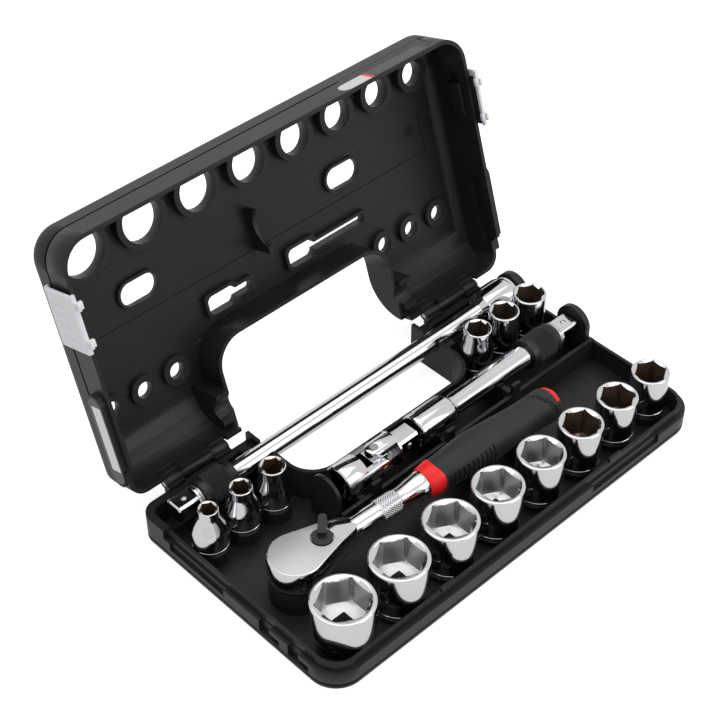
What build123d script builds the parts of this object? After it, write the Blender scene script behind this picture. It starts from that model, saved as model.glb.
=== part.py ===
import os
from math import asin, cos, pi, radians, sin

from build123d import *

os.makedirs("parts", exist_ok=True)

# Case outline and heights, in millimetres; the case lies along X with its hinge on the +Y side
CASE_LENGTH = 234.0
CASE_WIDTH = 126.5
CASE_CORNER = 14.0
REAR_CORNER = 8.0
BOTTOM_ROUND = 1.2
FLOOR = 2.5
PARTING = 10.0
LEDGE = 2.4
LIP_WALL = 1.6
LIP_RISE = 3.5
REAR_REACH = 17.25
REAR_RIM = 15.0
LINE_WIDTH = 0.9
LINE_DEPTH = 0.6
BASE_LINE = 2.6

# Lid
LID_WALL = 2.0
LID_TOP = 38.5
LID_ROUND = 7.0
LID_REAR_ROUND = 20.0
LID_LINE = 23.5
LID_LINE_WIDTH = 1.2
LID_LINE_DEPTH = 0.8
SEAM = 0.2
OPEN_ANGLE = 107.5

# Finger notch, open at the hinge side
NOTCH_CLEAR = 0.5
NOTCH_CORNER = 14.0
NOTCH_WALL = 1.8
NOTCH_RIM = 20.0
NOTCH_GAP = 0.4

# Hinge
HINGE_OUT = 2.6
HINGE_Z = 17.0
BARREL_RADIUS = 2.6
PIN_RADIUS = 1.2
PIN_RUN = 0.05
HINGE_END = 35.0
HINGE_SPAN = 36.0
KNUCKLE = 9.0
KNUCKLE_GAP = 0.4
WEB_DROP = 4.5
WEB_REACH = 4.0

# Latches
LATCH_FRONT = 34.25
LATCH_LENGTH = 28.0
LATCH_BOTTOM = 12.0
LATCH_HEIGHT = 15.0
LATCH_THICK = 2.2
LATCH_GAP = 0.3
LATCH_TRAVEL = 6.0
LATCH_NECK = 12.0
LATCH_NECK_RISE = 5.0
LATCH_FLANGE = 1.4
LATCH_FLANGE_LAP = 2.2
PRONG_WIDTH = 4.5
PRONG_SPREAD = 9.0
PRONG_TIP = 4.5
NUB_RISE = 2.5
NUB_DEPTH = 1.5
SLOT_PLAY = 0.5
RIDGE_COUNT = 4
RIDGE_PITCH = 4.4
RIDGE_WIDTH = 1.3
RIDGE_RISE = 0.5

# Sockets
FRONT_SIZES = (19, 18, 17, 16, 15, 14, 13, 12)
LEFT_SIZES = (6, 7, 8)
RIGHT_SIZES = (9, 10, 11)
NUT_GROWTH = 1.4
NUT_SKIN = 0.4
DRIVE_END = 16.6
DRIVE_SHARE = 0.85
SOCKET_LENGTH = 23.5
SOCKET_GROWTH = 0.57
SOCKET_BAND = 9.5
SOCKET_STEP = 1.5
SOCKET_MOUTH = 4.0
SOCKET_EDGE = 0.7
HEX_PLAY = 0.1
HEX_DEPTH = 13.5
DRIVE_HOLE = 9.75
FRONT_CLEAR = 0.35
ROW_LEFT = 4.2
ROW_RIGHT = 3.7
FRONT_TOP = 31.0
BACK_TOP = 33.0
BACK_PITCH = 18.3
BACK_LEFT = 0.8
BACK_RIGHT = 4.9
PLINTH_STEP = 0.4
PEG_PLAY = 0.45
PEG_RISE = 4.0

# Drive squares and the balls that hold them
DRIVE_SQUARE = 9.45
SQUARE_LENGTH = 11.0
SQUARE_EDGE = 1.0
BALL_RADIUS = 1.7
BALL_SUNK = 0.9
BALL_PLAY = 0.1
BALL_BACK = 6.0

# Ratchet, built along its own X from the centre of the head
RATCHET_END = 25.8
RATCHET_Z = 21.5
RATCHET_TURN = -3.3
HEAD_RADIUS = 12.4
HEAD_TAIL = 27.0
HEAD_TAIL_RADIUS = 5.0
HEAD_THICK = 13.0
HEAD_ROUND = 1.2
CAVITY_RADIUS = 10.0
CAVITY_TOP = 3.0
GEAR_RADIUS = 9.4
GEAR_TEETH = 40
TOOTH_DEPTH = 0.7
GEAR_HUB = 7.2
GEAR_PLAY = 0.3
COVER_THICK = 1.6
COVER_PLAY = 0.1
LEVER_X = 14.2
PAWL_CAVITY = 6.6
PAWL_LONG = 8.0
PAWL_FRONT = 4.9
PAWL_BACK = 3.0
PAWL_FACE = 10.1
PAWL_TILT = 3.0
STEM_RADIUS = 2.0
STEM_PLAY = 0.08
DIAL_RADIUS = 4.6
DIAL_SUNK = 1.6
DIAL_PROUD = 0.6
DIAL_PLAY = 0.3
PADDLE_LENGTH = 11.0
PADDLE_WIDTH = 3.8
PADDLE_THICK = 2.4
LEVER_ANGLE = 49.0
SHANK_RADIUS = 4.7
KNURL_START = 45.0
KNURL_LENGTH = 11.0
KNURL_RADIUS = 5.3
BELL_RADIUS = 6.8
BELL_LENGTH = 13.0
BAND_START = 71.0
BAND_LENGTH = 6.5
BAND_RADIUS = 7.8
TANG_RADIUS = 4.0
GRIP_LENGTH = 69.5
GRIP_FRONT = 8.6
GRIP_MIDDLE = 9.8
GRIP_BACK = 9.6
RIB_COUNT = 4
RIB_PITCH = 3.0
RIB_DEPTH = 0.5
CAP_RADIUS = 8.8
CAP_LENGTH = 3.0

# Trough that holds the universal joint and the short extension in line
TROUGH_Z = 20.0
TROUGH_START = 1.6
TROUGH_FRONT_HALF = 10.5
TROUGH_BACK_HALF = 9.1
TROUGH_WALL = 1.8
TROUGH_RIM = 15.5
ARCH_RADIUS = 9.2
ARCH_END = 3.1
CRADLE = 3.0
CRADLE_PLAY = 0.25
FINGER = 5.0
FINGER_RISE = 6.0

# Universal joint
JOINT_START = 6.5
JOINT_REACH = 21.9
JOINT_RADIUS = 8.5
FORK_ROOT = 10.0
FORK_INNER = 4.6
LUG_HALF = 4.3
CROSS_PLAY = 0.2
JOINT_PIN = 2.0
JOINT_RUN = 0.06
SHOULDER = 2.2
JOINT_HOLE = 9.5

# Extensions, built along their own X from the female end
FEMALE_RADIUS = 8.2
FEMALE_LENGTH = 20.0
FEMALE_FLARE = 4.0
END_EDGE = 0.7
TIP_RADIUS = 6.5
TIP_WIDTH = 1.2
FEMALE_HOLE = 11.5
COLLAR_RADIUS = 8.8
COLLAR_LENGTH = 19.0
COLLAR_LIP = 3.0
COLLAR_LIP_RADIUS = 8.1
COLLAR_RUN = 0.1
COLLAR_END = 3.0
COLLAR_CHAMBER = 7.4
COLLAR_TRAVEL = 3.0
SPRING_WALL = 0.9
SPRING_PLAY = 0.3
RING_WALL = 1.3
RING_WIDTH = 1.2
RING_PLAY = 0.3
COLLAR_BACK = 14.0
SHORT_START = 47.0
SHORT_END = 8.1
SHORT_SHAFT = 5.6
LONG_END = 8.6
LONG_ROOM = 18.0
LONG_SHAFT = 4.8
LONG_CLEAR = 0.65
LONG_Z = 17.0

# Steps from row to row across the case, and how the spare room between the rows is shared
TOOLS_ACROSS = 82.2
BACK_STEP = 17.28
BACK_SHARE = 0.24
TROUGH_STEP = 19.3
RATCHET_STEP = 17.1
RATCHET_SHARE = 0.4

# Lid furniture
RING_GAP = 0.8
RING_LAND = 0.5
RING_BITE = 2.5
SMALL_RING = 7.2
SMALL_HOLE = 4.0
WINDOW_RIM = 1.5
OVAL_LONG = 20.0
OVAL_WIDE = 11.0
OVALS = ((-72.7, -3.1), (49.2, -2.8))
BOTTLE_RIM = 3.0
BOTTLE_WALL = 1.6
BOTTLE_SHIFT = 0.5
BOTTLE_LONG = 16.0
BOTTLE_WIDE = 9.2
LEFT_BOTTLE = (-34.2, 12.0, 4.8)
RIGHT_BOTTLE = (14.5, 34.0, 3.8)
STEP_FRONT = 12.3
STEP_BACK = 9.0
STEP_DEPTH = 0.5
SADDLE_LONG = 9.0
SADDLE_HALF = 8.0
SADDLE_PLAY = 0.5
FIN_X = -7.8
FIN_DROP = 12.0
FIN_THICK = 2.0
FIN_PLAY = 0.8
PANEL_LENGTH = 47.0
PANEL_REAR = 8.25
PANEL_Z = (12.0, 22.6)
PANEL_RISE = 2.7
PANEL_CORNER = 5.0
PLATE_DEPTH = 0.5
STRIP_LENGTH = 34.0
STRIP_REAR = 15.25
STRIP_Z = (15.2, 19.4)
PLATE_LENGTH = 52.0
PLATE_END = 14.7
PLATE_Z = (14.0, 25.0)
SCOOP_DEPTH = 1.4
SCOOP_DROP = 4.0
FRONT_SCOOP_LENGTH = 46.0
FRONT_SCOOP_END = 28.7
END_SCOOP_LENGTH = 36.0
END_SCOOP_REAR = 21.25
TAB_LENGTH = 8.0
TAB_RISE = 1.5
TAB_XS = (-48.7, 60.3)

BASE = (Align.CENTER, Align.CENTER, Align.MIN)
FAR = 2 * CASE_LENGTH

# Places that follow from the sizes above, in millimetres from the middle of the case
HALF_LENGTH = CASE_LENGTH / 2
HALF_WIDTH = CASE_WIDTH / 2
LIP_TOP = PARTING + LIP_RISE
CASE_INSET = LEDGE + LIP_WALL
ROOF = LID_TOP - LID_WALL
HINGE_Y = HALF_WIDTH + HINGE_OUT
HINGE_X = HALF_LENGTH - HINGE_END
REAR_START = HALF_WIDTH - REAR_REACH
LATCH_Y = LATCH_FRONT - HALF_WIDTH
FRONT_RADIUS = (NUT_GROWTH * FRONT_SIZES[0] + NUT_SKIN) / 2
FRONT_Y = CASE_INSET + FRONT_RADIUS + FRONT_CLEAR - HALF_WIDTH
FRONT_START = CASE_INSET + FRONT_RADIUS + ROW_LEFT - HALF_LENGTH
ROW_SIZES = sum(NUT_GROWTH * size + NUT_SKIN for size in FRONT_SIZES)
FRONT_GAP = (CASE_LENGTH - 2 * CASE_INSET - ROW_LEFT - ROW_RIGHT - ROW_SIZES) / (len(FRONT_SIZES) - 1)
LEFT_START = CASE_INSET + DRIVE_END / 2 + BACK_LEFT - HALF_LENGTH
RIGHT_END = HALF_LENGTH - CASE_INSET - DRIVE_END / 2 - BACK_RIGHT
NOTCH_HALF = RIGHT_END - 2 * BACK_PITCH - DRIVE_END / 2 - NOTCH_CLEAR - NOTCH_WALL
LONG_Y = HALF_WIDTH - CASE_INSET - COLLAR_RADIUS - LONG_CLEAR
SPARE = LONG_Y - FRONT_Y - TOOLS_ACROSS
BACK_Y = LONG_Y - BACK_STEP - BACK_SHARE * SPARE
TROUGH_Y = BACK_Y - TROUGH_STEP
RATCHET_X = RATCHET_END - HALF_LENGTH
RATCHET_Y = TROUGH_Y - RATCHET_STEP - RATCHET_SHARE * SPARE
NOTCH_FRONT = TROUGH_Y + TROUGH_BACK_HALF + NOTCH_WALL
TROUGH_LEFT = -NOTCH_HALF - TROUGH_START
JOINT_LEFT = -NOTCH_HALF + JOINT_START
JOINT_CENTRE = JOINT_LEFT + JOINT_REACH
SHORT_FEMALE_X = JOINT_LEFT + SHORT_START
SHORT_LENGTH = HALF_LENGTH - SHORT_END - SHORT_FEMALE_X
LONG_FEMALE_X = HALF_LENGTH - LONG_END
LONG_LENGTH = CASE_LENGTH - LONG_ROOM
BOTTLE_Y = TROUGH_Y - BOTTLE_SHIFT
STEP_Y = (RATCHET_Y - STEP_FRONT, RATCHET_Y + STEP_BACK)
PANEL_Y = (HALF_WIDTH - PANEL_REAR - PANEL_LENGTH, HALF_WIDTH - PANEL_REAR)
STRIP_Y = (HALF_WIDTH - STRIP_REAR - STRIP_LENGTH, HALF_WIDTH - STRIP_REAR)
PLATE_X = (HALF_LENGTH - PLATE_END - PLATE_LENGTH, HALF_LENGTH - PLATE_END)
FRONT_SCOOP = (HALF_LENGTH - FRONT_SCOOP_END - FRONT_SCOOP_LENGTH, HALF_LENGTH - FRONT_SCOOP_END)
END_SCOOP = (HALF_WIDTH - END_SCOOP_REAR - END_SCOOP_LENGTH, HALF_WIDTH - END_SCOOP_REAR)


def slab(inset, bottom, top):
    """The case's footprint, drawn in by an inset, between two heights."""
    outline = Rectangle(CASE_LENGTH - 2 * inset, CASE_WIDTH - 2 * inset)
    outline = fillet(outline.vertices().group_by(Axis.Y)[0], CASE_CORNER - inset)
    outline = fillet(outline.vertices().group_by(Axis.Y)[-1], REAR_CORNER - inset)
    return Pos(0, 0, bottom) * extrude(outline, top - bottom)


def notch_prism(grow, bottom, top):
    """The finger notch, grown outwards, running out past the hinge side."""
    outline = RectangleRounded(2 * (NOTCH_HALF + grow), CASE_WIDTH, NOTCH_CORNER + grow)
    return Pos(0, NOTCH_FRONT - grow + CASE_WIDTH / 2, bottom) * extrude(outline, top - bottom)


def block(x, y, z):
    """A box between pairs of x, y and z values."""
    size = [b - a for a, b in (x, y, z)]
    middle = [(a + b) / 2 for a, b in (x, y, z)]
    return Pos(*middle) * Box(*size)


def rod(radius, x0, x1, y=0.0, z=0.0):
    """A round bar along X."""
    return Pos(x0, y, z) * Rot(0, 90, 0) * Cylinder(radius, x1 - x0, align=BASE)


def post(radius, x, y, bottom, top):
    """A round bar along Z."""
    return Pos(x, y, bottom) * Cylinder(radius, top - bottom, align=BASE)


def turned(*points):
    """A solid turned about X from points of distance and radius."""
    return revolve(make_face(Polyline(*points, close=True)), Axis.X)


def upright(shape):
    """A shape built along X, stood up along Z."""
    return Rot(0, -90, 0) * shape


def line_round(height, width, depth):
    """A thin moulded line round the outside of the case."""
    return slab(-1, height, height + width) - slab(depth, height, height + width)


def drive_square(x0, x1):
    """A male drive square along X with bevelled edges."""
    bar = block((x0, x1), (-DRIVE_SQUARE / 2, DRIVE_SQUARE / 2), (-DRIVE_SQUARE / 2, DRIVE_SQUARE / 2))
    return chamfer(bar.edges().filter_by(Axis.X), SQUARE_EDGE)


def square_hole(x0, x1):
    """A female drive square along X."""
    return block((x0, x1), (-DRIVE_HOLE / 2, DRIVE_HOLE / 2), (-DRIVE_HOLE / 2, DRIVE_HOLE / 2))


def ball_pocket(x):
    """The hole for a detent ball in the top face of a square along X."""
    return post(BALL_RADIUS + BALL_PLAY, x, 0, DRIVE_SQUARE / 2 - BALL_SUNK - 1.2 * BALL_RADIUS, DRIVE_SQUARE)


def ball(x):
    """A detent ball standing a little proud of a square along X."""
    return Pos(x, 0, DRIVE_SQUARE / 2 - BALL_SUNK) * Sphere(BALL_RADIUS)


def nut_radius(size):
    return (NUT_GROWTH * size + NUT_SKIN) / 2


def drive_radius(size):
    return max(DRIVE_END / 2, DRIVE_SHARE * nut_radius(size))


def socket_height(size):
    return SOCKET_LENGTH + SOCKET_GROWTH * max(0, size - FRONT_SIZES[-1])


def socket_places():
    """Size, x, y and top height of every socket in the case."""
    places = []
    x = FRONT_START
    for n, size in enumerate(FRONT_SIZES):
        if n:
            x += nut_radius(FRONT_SIZES[n - 1]) + nut_radius(size) + FRONT_GAP
        places.append((size, x, FRONT_Y, FRONT_TOP))
    for n, size in enumerate(LEFT_SIZES):
        places.append((size, LEFT_START + n * BACK_PITCH, BACK_Y, BACK_TOP))
    for n, size in enumerate(reversed(RIGHT_SIZES)):
        places.append((size, RIGHT_END - n * BACK_PITCH, BACK_Y, BACK_TOP))
    return places


def socket(size):
    """A six-point socket standing on its drive end at the origin."""
    nut = nut_radius(size)
    drive = drive_radius(size)
    height = socket_height(size)
    flank = height - SOCKET_MOUTH if nut < drive else SOCKET_BAND + SOCKET_STEP
    body = upright(turned(
        (0, 0), (0, drive - SOCKET_EDGE), (SOCKET_EDGE, drive), (SOCKET_BAND, drive), (flank, nut),
        (height - SOCKET_EDGE, nut), (height, nut - SOCKET_EDGE), (height, 0),
    ))
    flat = (size + HEX_PLAY) / 2
    corner = flat / cos(pi / 6)
    mouth = corner - flat + HEX_PLAY
    hexagon = Pos(0, 0, height - HEX_DEPTH) * extrude(RegularPolygon(flat, 6, major_radius=False), HEX_DEPTH)
    lead = upright(turned((height - mouth, 0), (height - mouth, flat), (height, corner), (height, 0)))
    return body - hexagon - lead - upright(square_hole(0, height - HEX_DEPTH))


def at_ratchet(shape):
    """A shape in the ratchet's own frame, set into the case."""
    return Pos(RATCHET_X, RATCHET_Y, RATCHET_Z) * Rot(0, 0, RATCHET_TURN) * shape


def at_trough(x, shape):
    """A shape built along X from zero, set on the trough's axis."""
    return Pos(x, TROUGH_Y, TROUGH_Z) * shape


def at_long(shape):
    """A shape built along X from its female end, set across the notch with its tip to the left."""
    return Pos(LONG_FEMALE_X, LONG_Y, LONG_Z) * Rot(0, 0, 180) * shape


def opened(shape):
    """A shape built on the closed lid, swung open about the hinge."""
    return Pos(0, HINGE_Y, HINGE_Z) * Rot(-OPEN_ANGLE, 0, 0) * Pos(0, -HINGE_Y, -HINGE_Z) * shape


def hinge_spans(which):
    """The x ranges of the base's outer knuckles or of the lid's middle knuckles."""
    spans = []
    for middle in (-HINGE_X, HINGE_X):
        left = middle - HINGE_SPAN / 2
        right = middle + HINGE_SPAN / 2
        if which == "base":
            spans += [(left, left + KNUCKLE), (right - KNUCKLE, right)]
        else:
            spans.append((left + KNUCKLE + KNUCKLE_GAP, right - KNUCKLE - KNUCKLE_GAP))
    return spans


def cradle(x, y, z, radius, front, back):
    """A rib across the tray with a round seat for a bar along X."""
    rib = block((x - CRADLE / 2, x + CRADLE / 2), (front, back), (FLOOR, z - radius / 2))
    return rib - rod(radius + CRADLE_PLAY, x - CRADLE, x + CRADLE, y, z)


def arch(x0, x1, y, z):
    """A round-topped plate across the end of a bar, kept inside the tray."""
    foot = block((x0, x1), (y - ARCH_RADIUS, y + ARCH_RADIUS), (FLOOR, z))
    return (foot + rod(ARCH_RADIUS, x0, x1, y, z)) & slab(CASE_INSET, FLOOR, LID_TOP)


def rib_groove(x, radius):
    """Points of a small groove in a turned outline."""
    return [(x, radius), (x + RIB_DEPTH, radius - RIB_DEPTH), (x + 2 * RIB_DEPTH, radius)]


def both_ends(shape):
    """A shape at the right end of the case with its mirror image at the left."""
    return shape + mirror(shape, Plane.YZ)


# Base tray: shell with a raised lip, finger notch with its own rim, and a moulded line above the foot
shell = fillet(slab(0, 0, PARTING).edges().group_by(Axis.Z)[0], BOTTOM_ROUND)
rear = block((-FAR, FAR), (REAR_START, CASE_WIDTH), (PARTING, REAR_RIM))
tray = shell + (slab(LEDGE, PARTING, LIP_TOP) - rear) + (slab(0, PARTING, REAR_RIM) & rear)
tray -= slab(CASE_INSET, FLOOR, REAR_RIM)
tray -= line_round(BASE_LINE, LINE_WIDTH, LINE_DEPTH)
tray += slab(0, FLOOR, NOTCH_RIM) & notch_prism(NOTCH_WALL, FLOOR, NOTCH_RIM)
tray -= notch_prism(0, -FLOOR, NOTCH_RIM)

# A plinth under each socket with a square peg for its drive hole
inner_end = HALF_LENGTH - CASE_INSET
inner_side = HALF_WIDTH - CASE_INSET
peg = DRIVE_HOLE - 2 * PEG_PLAY
fittings = []
for size, x, y, top in socket_places():
    seat = top - socket_height(size)
    fittings.append(post(drive_radius(size) - PLINTH_STEP, x, y, FLOOR, seat))
    fittings.append(Pos(x, y, seat) * Box(peg, peg, PEG_RISE, align=BASE))

# Trough walls, arched end plates, clip fingers and cradle ribs for the tools that lie in line
trough_front = TROUGH_Y - TROUGH_FRONT_HALF
trough_back = NOTCH_FRONT - NOTCH_WALL
front_wall = (trough_front - TROUGH_WALL, trough_front)
fittings.append(block((TROUGH_LEFT, inner_end), front_wall, (FLOOR, TROUGH_RIM)))
fittings.append(block((NOTCH_HALF, inner_end), (trough_back, NOTCH_FRONT), (FLOOR, TROUGH_RIM)))
fittings.append(arch(TROUGH_LEFT, TROUGH_LEFT + TROUGH_WALL, TROUGH_Y, TROUGH_Z))
fittings.append(arch(inner_end - ARCH_END, inner_end, TROUGH_Y, TROUGH_Z))
fittings.append(arch(LONG_FEMALE_X + CRADLE_PLAY, inner_end, LONG_Y, LONG_Z))
short_middle = SHORT_FEMALE_X + SHORT_LENGTH / 2
for x in (JOINT_LEFT + FORK_ROOT, SHORT_FEMALE_X + FEMALE_LENGTH / 2, short_middle):
    fittings.append(block((x, x + FINGER), front_wall, (FLOOR, TROUGH_RIM + FINGER_RISE)))
fittings.append(cradle(
    JOINT_LEFT + FORK_ROOT / 2, TROUGH_Y, TROUGH_Z, JOINT_RADIUS, trough_front, trough_back))
fittings.append(cradle(
    SHORT_FEMALE_X + FEMALE_LENGTH / 2, TROUGH_Y, TROUGH_Z, FEMALE_RADIUS, trough_front, trough_back))
fittings.append(cradle(short_middle, TROUGH_Y, TROUGH_Z, SHORT_SHAFT, trough_front, trough_back))

# Saddles beside the notch for the long extension
for side in (-1, 1):
    reach = sorted((side * NOTCH_HALF, side * (NOTCH_HALF + SADDLE_LONG)))
    saddle = block(reach, (LONG_Y - SADDLE_HALF, inner_side), (FLOOR, LONG_Z - SADDLE_PLAY))
    fittings.append(saddle)
tray += fittings
seat_radius = LONG_SHAFT + CRADLE_PLAY
saddle_span = (-NOTCH_HALF - 2 * SADDLE_LONG, NOTCH_HALF + 2 * SADDLE_LONG)
tray -= rod(seat_radius, *saddle_span, LONG_Y, LONG_Z)
tray -= block(saddle_span, (LONG_Y - seat_radius, LONG_Y + seat_radius), (LONG_Z, NOTCH_RIM))

# Ring pocket under the ratchet's head and two cradles under its grip
head_bottom = RATCHET_Z - HEAD_THICK / 2
pocket = post(HEAD_RADIUS, RATCHET_X, RATCHET_Y, FLOOR, head_bottom - CRADLE_PLAY)
pocket -= post(CAVITY_RADIUS, RATCHET_X, RATCHET_Y, FLOOR, head_bottom)
grip_start = BAND_START + BAND_LENGTH
grip_end = grip_start + GRIP_LENGTH
ribs = []
for share in (0.3, 0.7):
    along = grip_start + share * GRIP_LENGTH
    rib_x = RATCHET_X + along * cos(radians(RATCHET_TURN))
    rib_y = RATCHET_Y + along * sin(radians(RATCHET_TURN))
    ribs.append(block(
        (rib_x - CRADLE / 2, rib_x + CRADLE / 2), (rib_y - GRIP_MIDDLE, rib_y + GRIP_MIDDLE),
        (FLOOR, RATCHET_Z - GRIP_MIDDLE / 2)))
seat_cut = at_ratchet(rod(GRIP_MIDDLE + CRADLE_PLAY, grip_start, grip_end))
tray += [pocket] + [rib - seat_cut for rib in ribs]

# Hinge knuckles on webs off the rear wall
for span in hinge_spans("base"):
    tray += rod(BARREL_RADIUS, *span, HINGE_Y, HINGE_Z)
    tray += block(span, (HINGE_Y - WEB_REACH, HINGE_Y), (HINGE_Z - WEB_DROP, HINGE_Z))
tray -= rod(PIN_RADIUS, -FAR, FAR, HINGE_Y, HINGE_Z)

# Finger scoops and catch tabs on the rim, and hooked slots in both end walls for the latches
tray -= block(
    FRONT_SCOOP, (-HALF_WIDTH - SCOOP_DEPTH, -HALF_WIDTH + SCOOP_DEPTH), (PARTING - SCOOP_DROP, PARTING))
tray -= block(
    (-HALF_LENGTH - SCOOP_DEPTH, -HALF_LENGTH + SCOOP_DEPTH), END_SCOOP, (PARTING - SCOOP_DROP, PARTING))
for x in TAB_XS:
    tray += block(
        (x - TAB_LENGTH / 2, x + TAB_LENGTH / 2), (-HALF_WIDTH + LEDGE, -HALF_WIDTH + CASE_INSET),
        (LIP_TOP, LIP_TOP + TAB_RISE))
slot_depth = (HALF_LENGTH - NUB_DEPTH - SLOT_PLAY, HALF_LENGTH + SLOT_PLAY)
slots = []
for prong in (LATCH_Y - PRONG_SPREAD, LATCH_Y + PRONG_SPREAD):
    entry = (prong - PRONG_WIDTH / 2 - 2 * SLOT_PLAY, prong + PRONG_WIDTH / 2 + 2 * SLOT_PLAY)
    run = (entry[0] - LATCH_TRAVEL, entry[1])
    slots.append(block(slot_depth, entry, (PRONG_TIP - SLOT_PLAY, PARTING)))
    slots.append(block(slot_depth, run, (PRONG_TIP - SLOT_PLAY, PRONG_TIP + NUB_RISE + SLOT_PLAY)))
for slot in slots:
    tray -= both_ends(slot)
export_step(tray, "parts/base_tray.step")

# Lid shell, built closed: rounded roof edge, a much larger bend over the hinge, and its own notch
def rear_bend(inset, top):
    """What the large bend over the hinge takes off the lid's rear top edge."""
    radius = LID_REAR_ROUND - inset
    middle_y = HALF_WIDTH - inset - radius
    middle_z = top - radius
    corner = block((-FAR, FAR), (middle_y, CASE_WIDTH), (middle_z, 2 * LID_TOP))
    return corner - rod(radius, -FAR, FAR, middle_y, middle_z)


outside = fillet(slab(0, PARTING + SEAM, LID_TOP).edges().group_by(Axis.Z)[-1], LID_ROUND)
outside -= rear_bend(0, LID_TOP)
inside = fillet(slab(LID_WALL, 0, ROOF).edges().group_by(Axis.Z)[-1], LID_ROUND - LID_WALL)
inside -= rear_bend(LID_WALL, ROOF)
lid = outside - inside - line_round(LID_LINE, LID_LINE_WIDTH, LID_LINE_DEPTH)

# Raised panels on both ends near the hinge, hollow behind, and room over the base's taller rear rim
panel = block((HALF_LENGTH - LID_WALL, HALF_LENGTH + PANEL_RISE), PANEL_Y, PANEL_Z)
lid += both_ends(fillet(panel.edges().filter_by(Axis.X), PANEL_CORNER))
lid -= both_ends(block(
    (HALF_LENGTH - 2 * LID_WALL, HALF_LENGTH + PANEL_RISE - LID_WALL),
    (PANEL_Y[0] + PANEL_CORNER, HALF_WIDTH - CASE_CORNER), (PANEL_Z[0] + LID_WALL, PANEL_Z[1] - LID_WALL)))
lid -= block((-FAR, FAR), (REAR_START - SEAM, CASE_WIDTH), (0, REAR_RIM + SEAM))

# Wall round the lid's notch, meeting the base's notch rim, and a shallow step along the roof
rim_height = NOTCH_RIM + NOTCH_GAP
lid += outside & notch_prism(NOTCH_WALL, rim_height, LID_TOP)
step_end = HALF_LENGTH - 2 * LID_ROUND
lid -= block((-step_end, step_end), STEP_Y, (ROOF, ROOF + STEP_DEPTH))

# Ring bosses over the sockets, with holes through the roof
lid_fittings = []
lid_holes = []
for size, x, y, top in socket_places():
    large = size in FRONT_SIZES
    land = nut_radius(size) + RING_LAND if large else SMALL_RING
    hole = nut_radius(size) - RING_BITE if large else SMALL_HOLE
    lid_fittings.append(post(land, x, y, top + RING_GAP, ROOF + LID_WALL / 2))
    lid_holes.append(post(hole, x, y, top, LID_TOP + 1))

# Oval and bottle-shaped windows with raised rims
rim_bottom = ROOF - WINDOW_RIM
for x, from_ratchet in OVALS:
    y = RATCHET_Y + from_ratchet
    grown = SlotOverall(OVAL_LONG + 2 * WINDOW_RIM, OVAL_WIDE + 2 * WINDOW_RIM)
    lid_fittings.append(Pos(x, y, rim_bottom) * extrude(grown, WINDOW_RIM + LID_WALL / 2))
    lid_holes.append(Pos(x, y, rim_bottom) * extrude(SlotOverall(OVAL_LONG, OVAL_WIDE), LID_TOP))
for x, neck_long, neck_wide in (LEFT_BOTTLE, RIGHT_BOTTLE):
    rim = (BOTTLE_WALL, BOTTLE_RIM + LID_WALL / 2, lid_fittings)
    for grow, height, pile in (rim, (0, LID_TOP, lid_holes)):
        belly = RectangleRounded(BOTTLE_LONG + 2 * grow, BOTTLE_WIDE + 2 * grow, BOTTLE_WIDE / 3)
        neck = RectangleRounded(neck_long + 2 * grow, neck_wide + 2 * grow, neck_wide / 3)
        outline = belly + Pos((BOTTLE_LONG + neck_long) / 2 - neck_wide / 2, 0) * neck
        pile.append(Pos(x, BOTTLE_Y, ROOF - BOTTLE_RIM) * extrude(outline, height))

# Saddle clips for the long extension, and an arched fin over the ratchet's grip
for side in (-1, 1):
    reach = sorted((side * NOTCH_HALF, side * (NOTCH_HALF + SADDLE_LONG)))
    clip = block(reach, (LONG_Y - SADDLE_HALF, LONG_Y + SADDLE_HALF), (LONG_Z + SADDLE_PLAY, LID_TOP))
    lid_fittings.append(clip & outside)
fin = block(
    (FIN_X - FIN_THICK / 2, FIN_X + FIN_THICK / 2), STEP_Y, (ROOF - FIN_DROP, ROOF + LID_WALL / 2))
lid_fittings.append(fin - at_ratchet(rod(GRIP_MIDDLE + FIN_PLAY, KNURL_START, grip_end)))
lid += lid_fittings
lid -= lid_holes
lid -= notch_prism(0, 0, 2 * LID_TOP)
lid -= notch_prism(NOTCH_WALL + NOTCH_GAP, 0, rim_height)
lid -= rod(LONG_SHAFT + SADDLE_PLAY, *saddle_span, LONG_Y, LONG_Z)

# Lid knuckles, and room cut in the rear wall for the base's knuckles
for span in hinge_spans("lid"):
    web = block(span, (HINGE_Y - WEB_REACH, HINGE_Y), (HINGE_Z, HINGE_Z + WEB_DROP))
    lid += rod(BARREL_RADIUS, *span, HINGE_Y, HINGE_Z) + web
for left, right in hinge_spans("base"):
    room = (left - KNUCKLE_GAP, right + KNUCKLE_GAP)
    lid -= block(room, (HINGE_Y - WEB_REACH - 1, HINGE_Y + BARREL_RADIUS), (0, HINGE_Z + WEB_DROP))
lid -= rod(PIN_RADIUS + PIN_RUN, -FAR, FAR, HINGE_Y, HINGE_Z)

# Slots for the latches, and shallow blank places on the left panel and on the free edge
neck_middle = LATCH_BOTTOM + LATCH_HEIGHT / 2
neck_rise = (neck_middle - LATCH_NECK_RISE / 2, neck_middle + LATCH_NECK_RISE / 2)
neck_run = (LATCH_Y - LATCH_NECK / 2, LATCH_Y + LATCH_NECK / 2)
lid -= both_ends(block(
    (HALF_LENGTH - 2 * LID_WALL, HALF_LENGTH + 1),
    (neck_run[0] - LATCH_TRAVEL - LATCH_GAP, neck_run[1] + LATCH_GAP),
    (neck_rise[0] - LATCH_GAP, neck_rise[1] + LATCH_GAP)))
lid -= block((-FAR, -HALF_LENGTH - PANEL_RISE + PLATE_DEPTH), STRIP_Y, STRIP_Z)
lid -= block(PLATE_X, (-FAR, -HALF_WIDTH + PLATE_DEPTH), PLATE_Z)
export_step(opened(lid), "parts/lid_shell.step")

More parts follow.
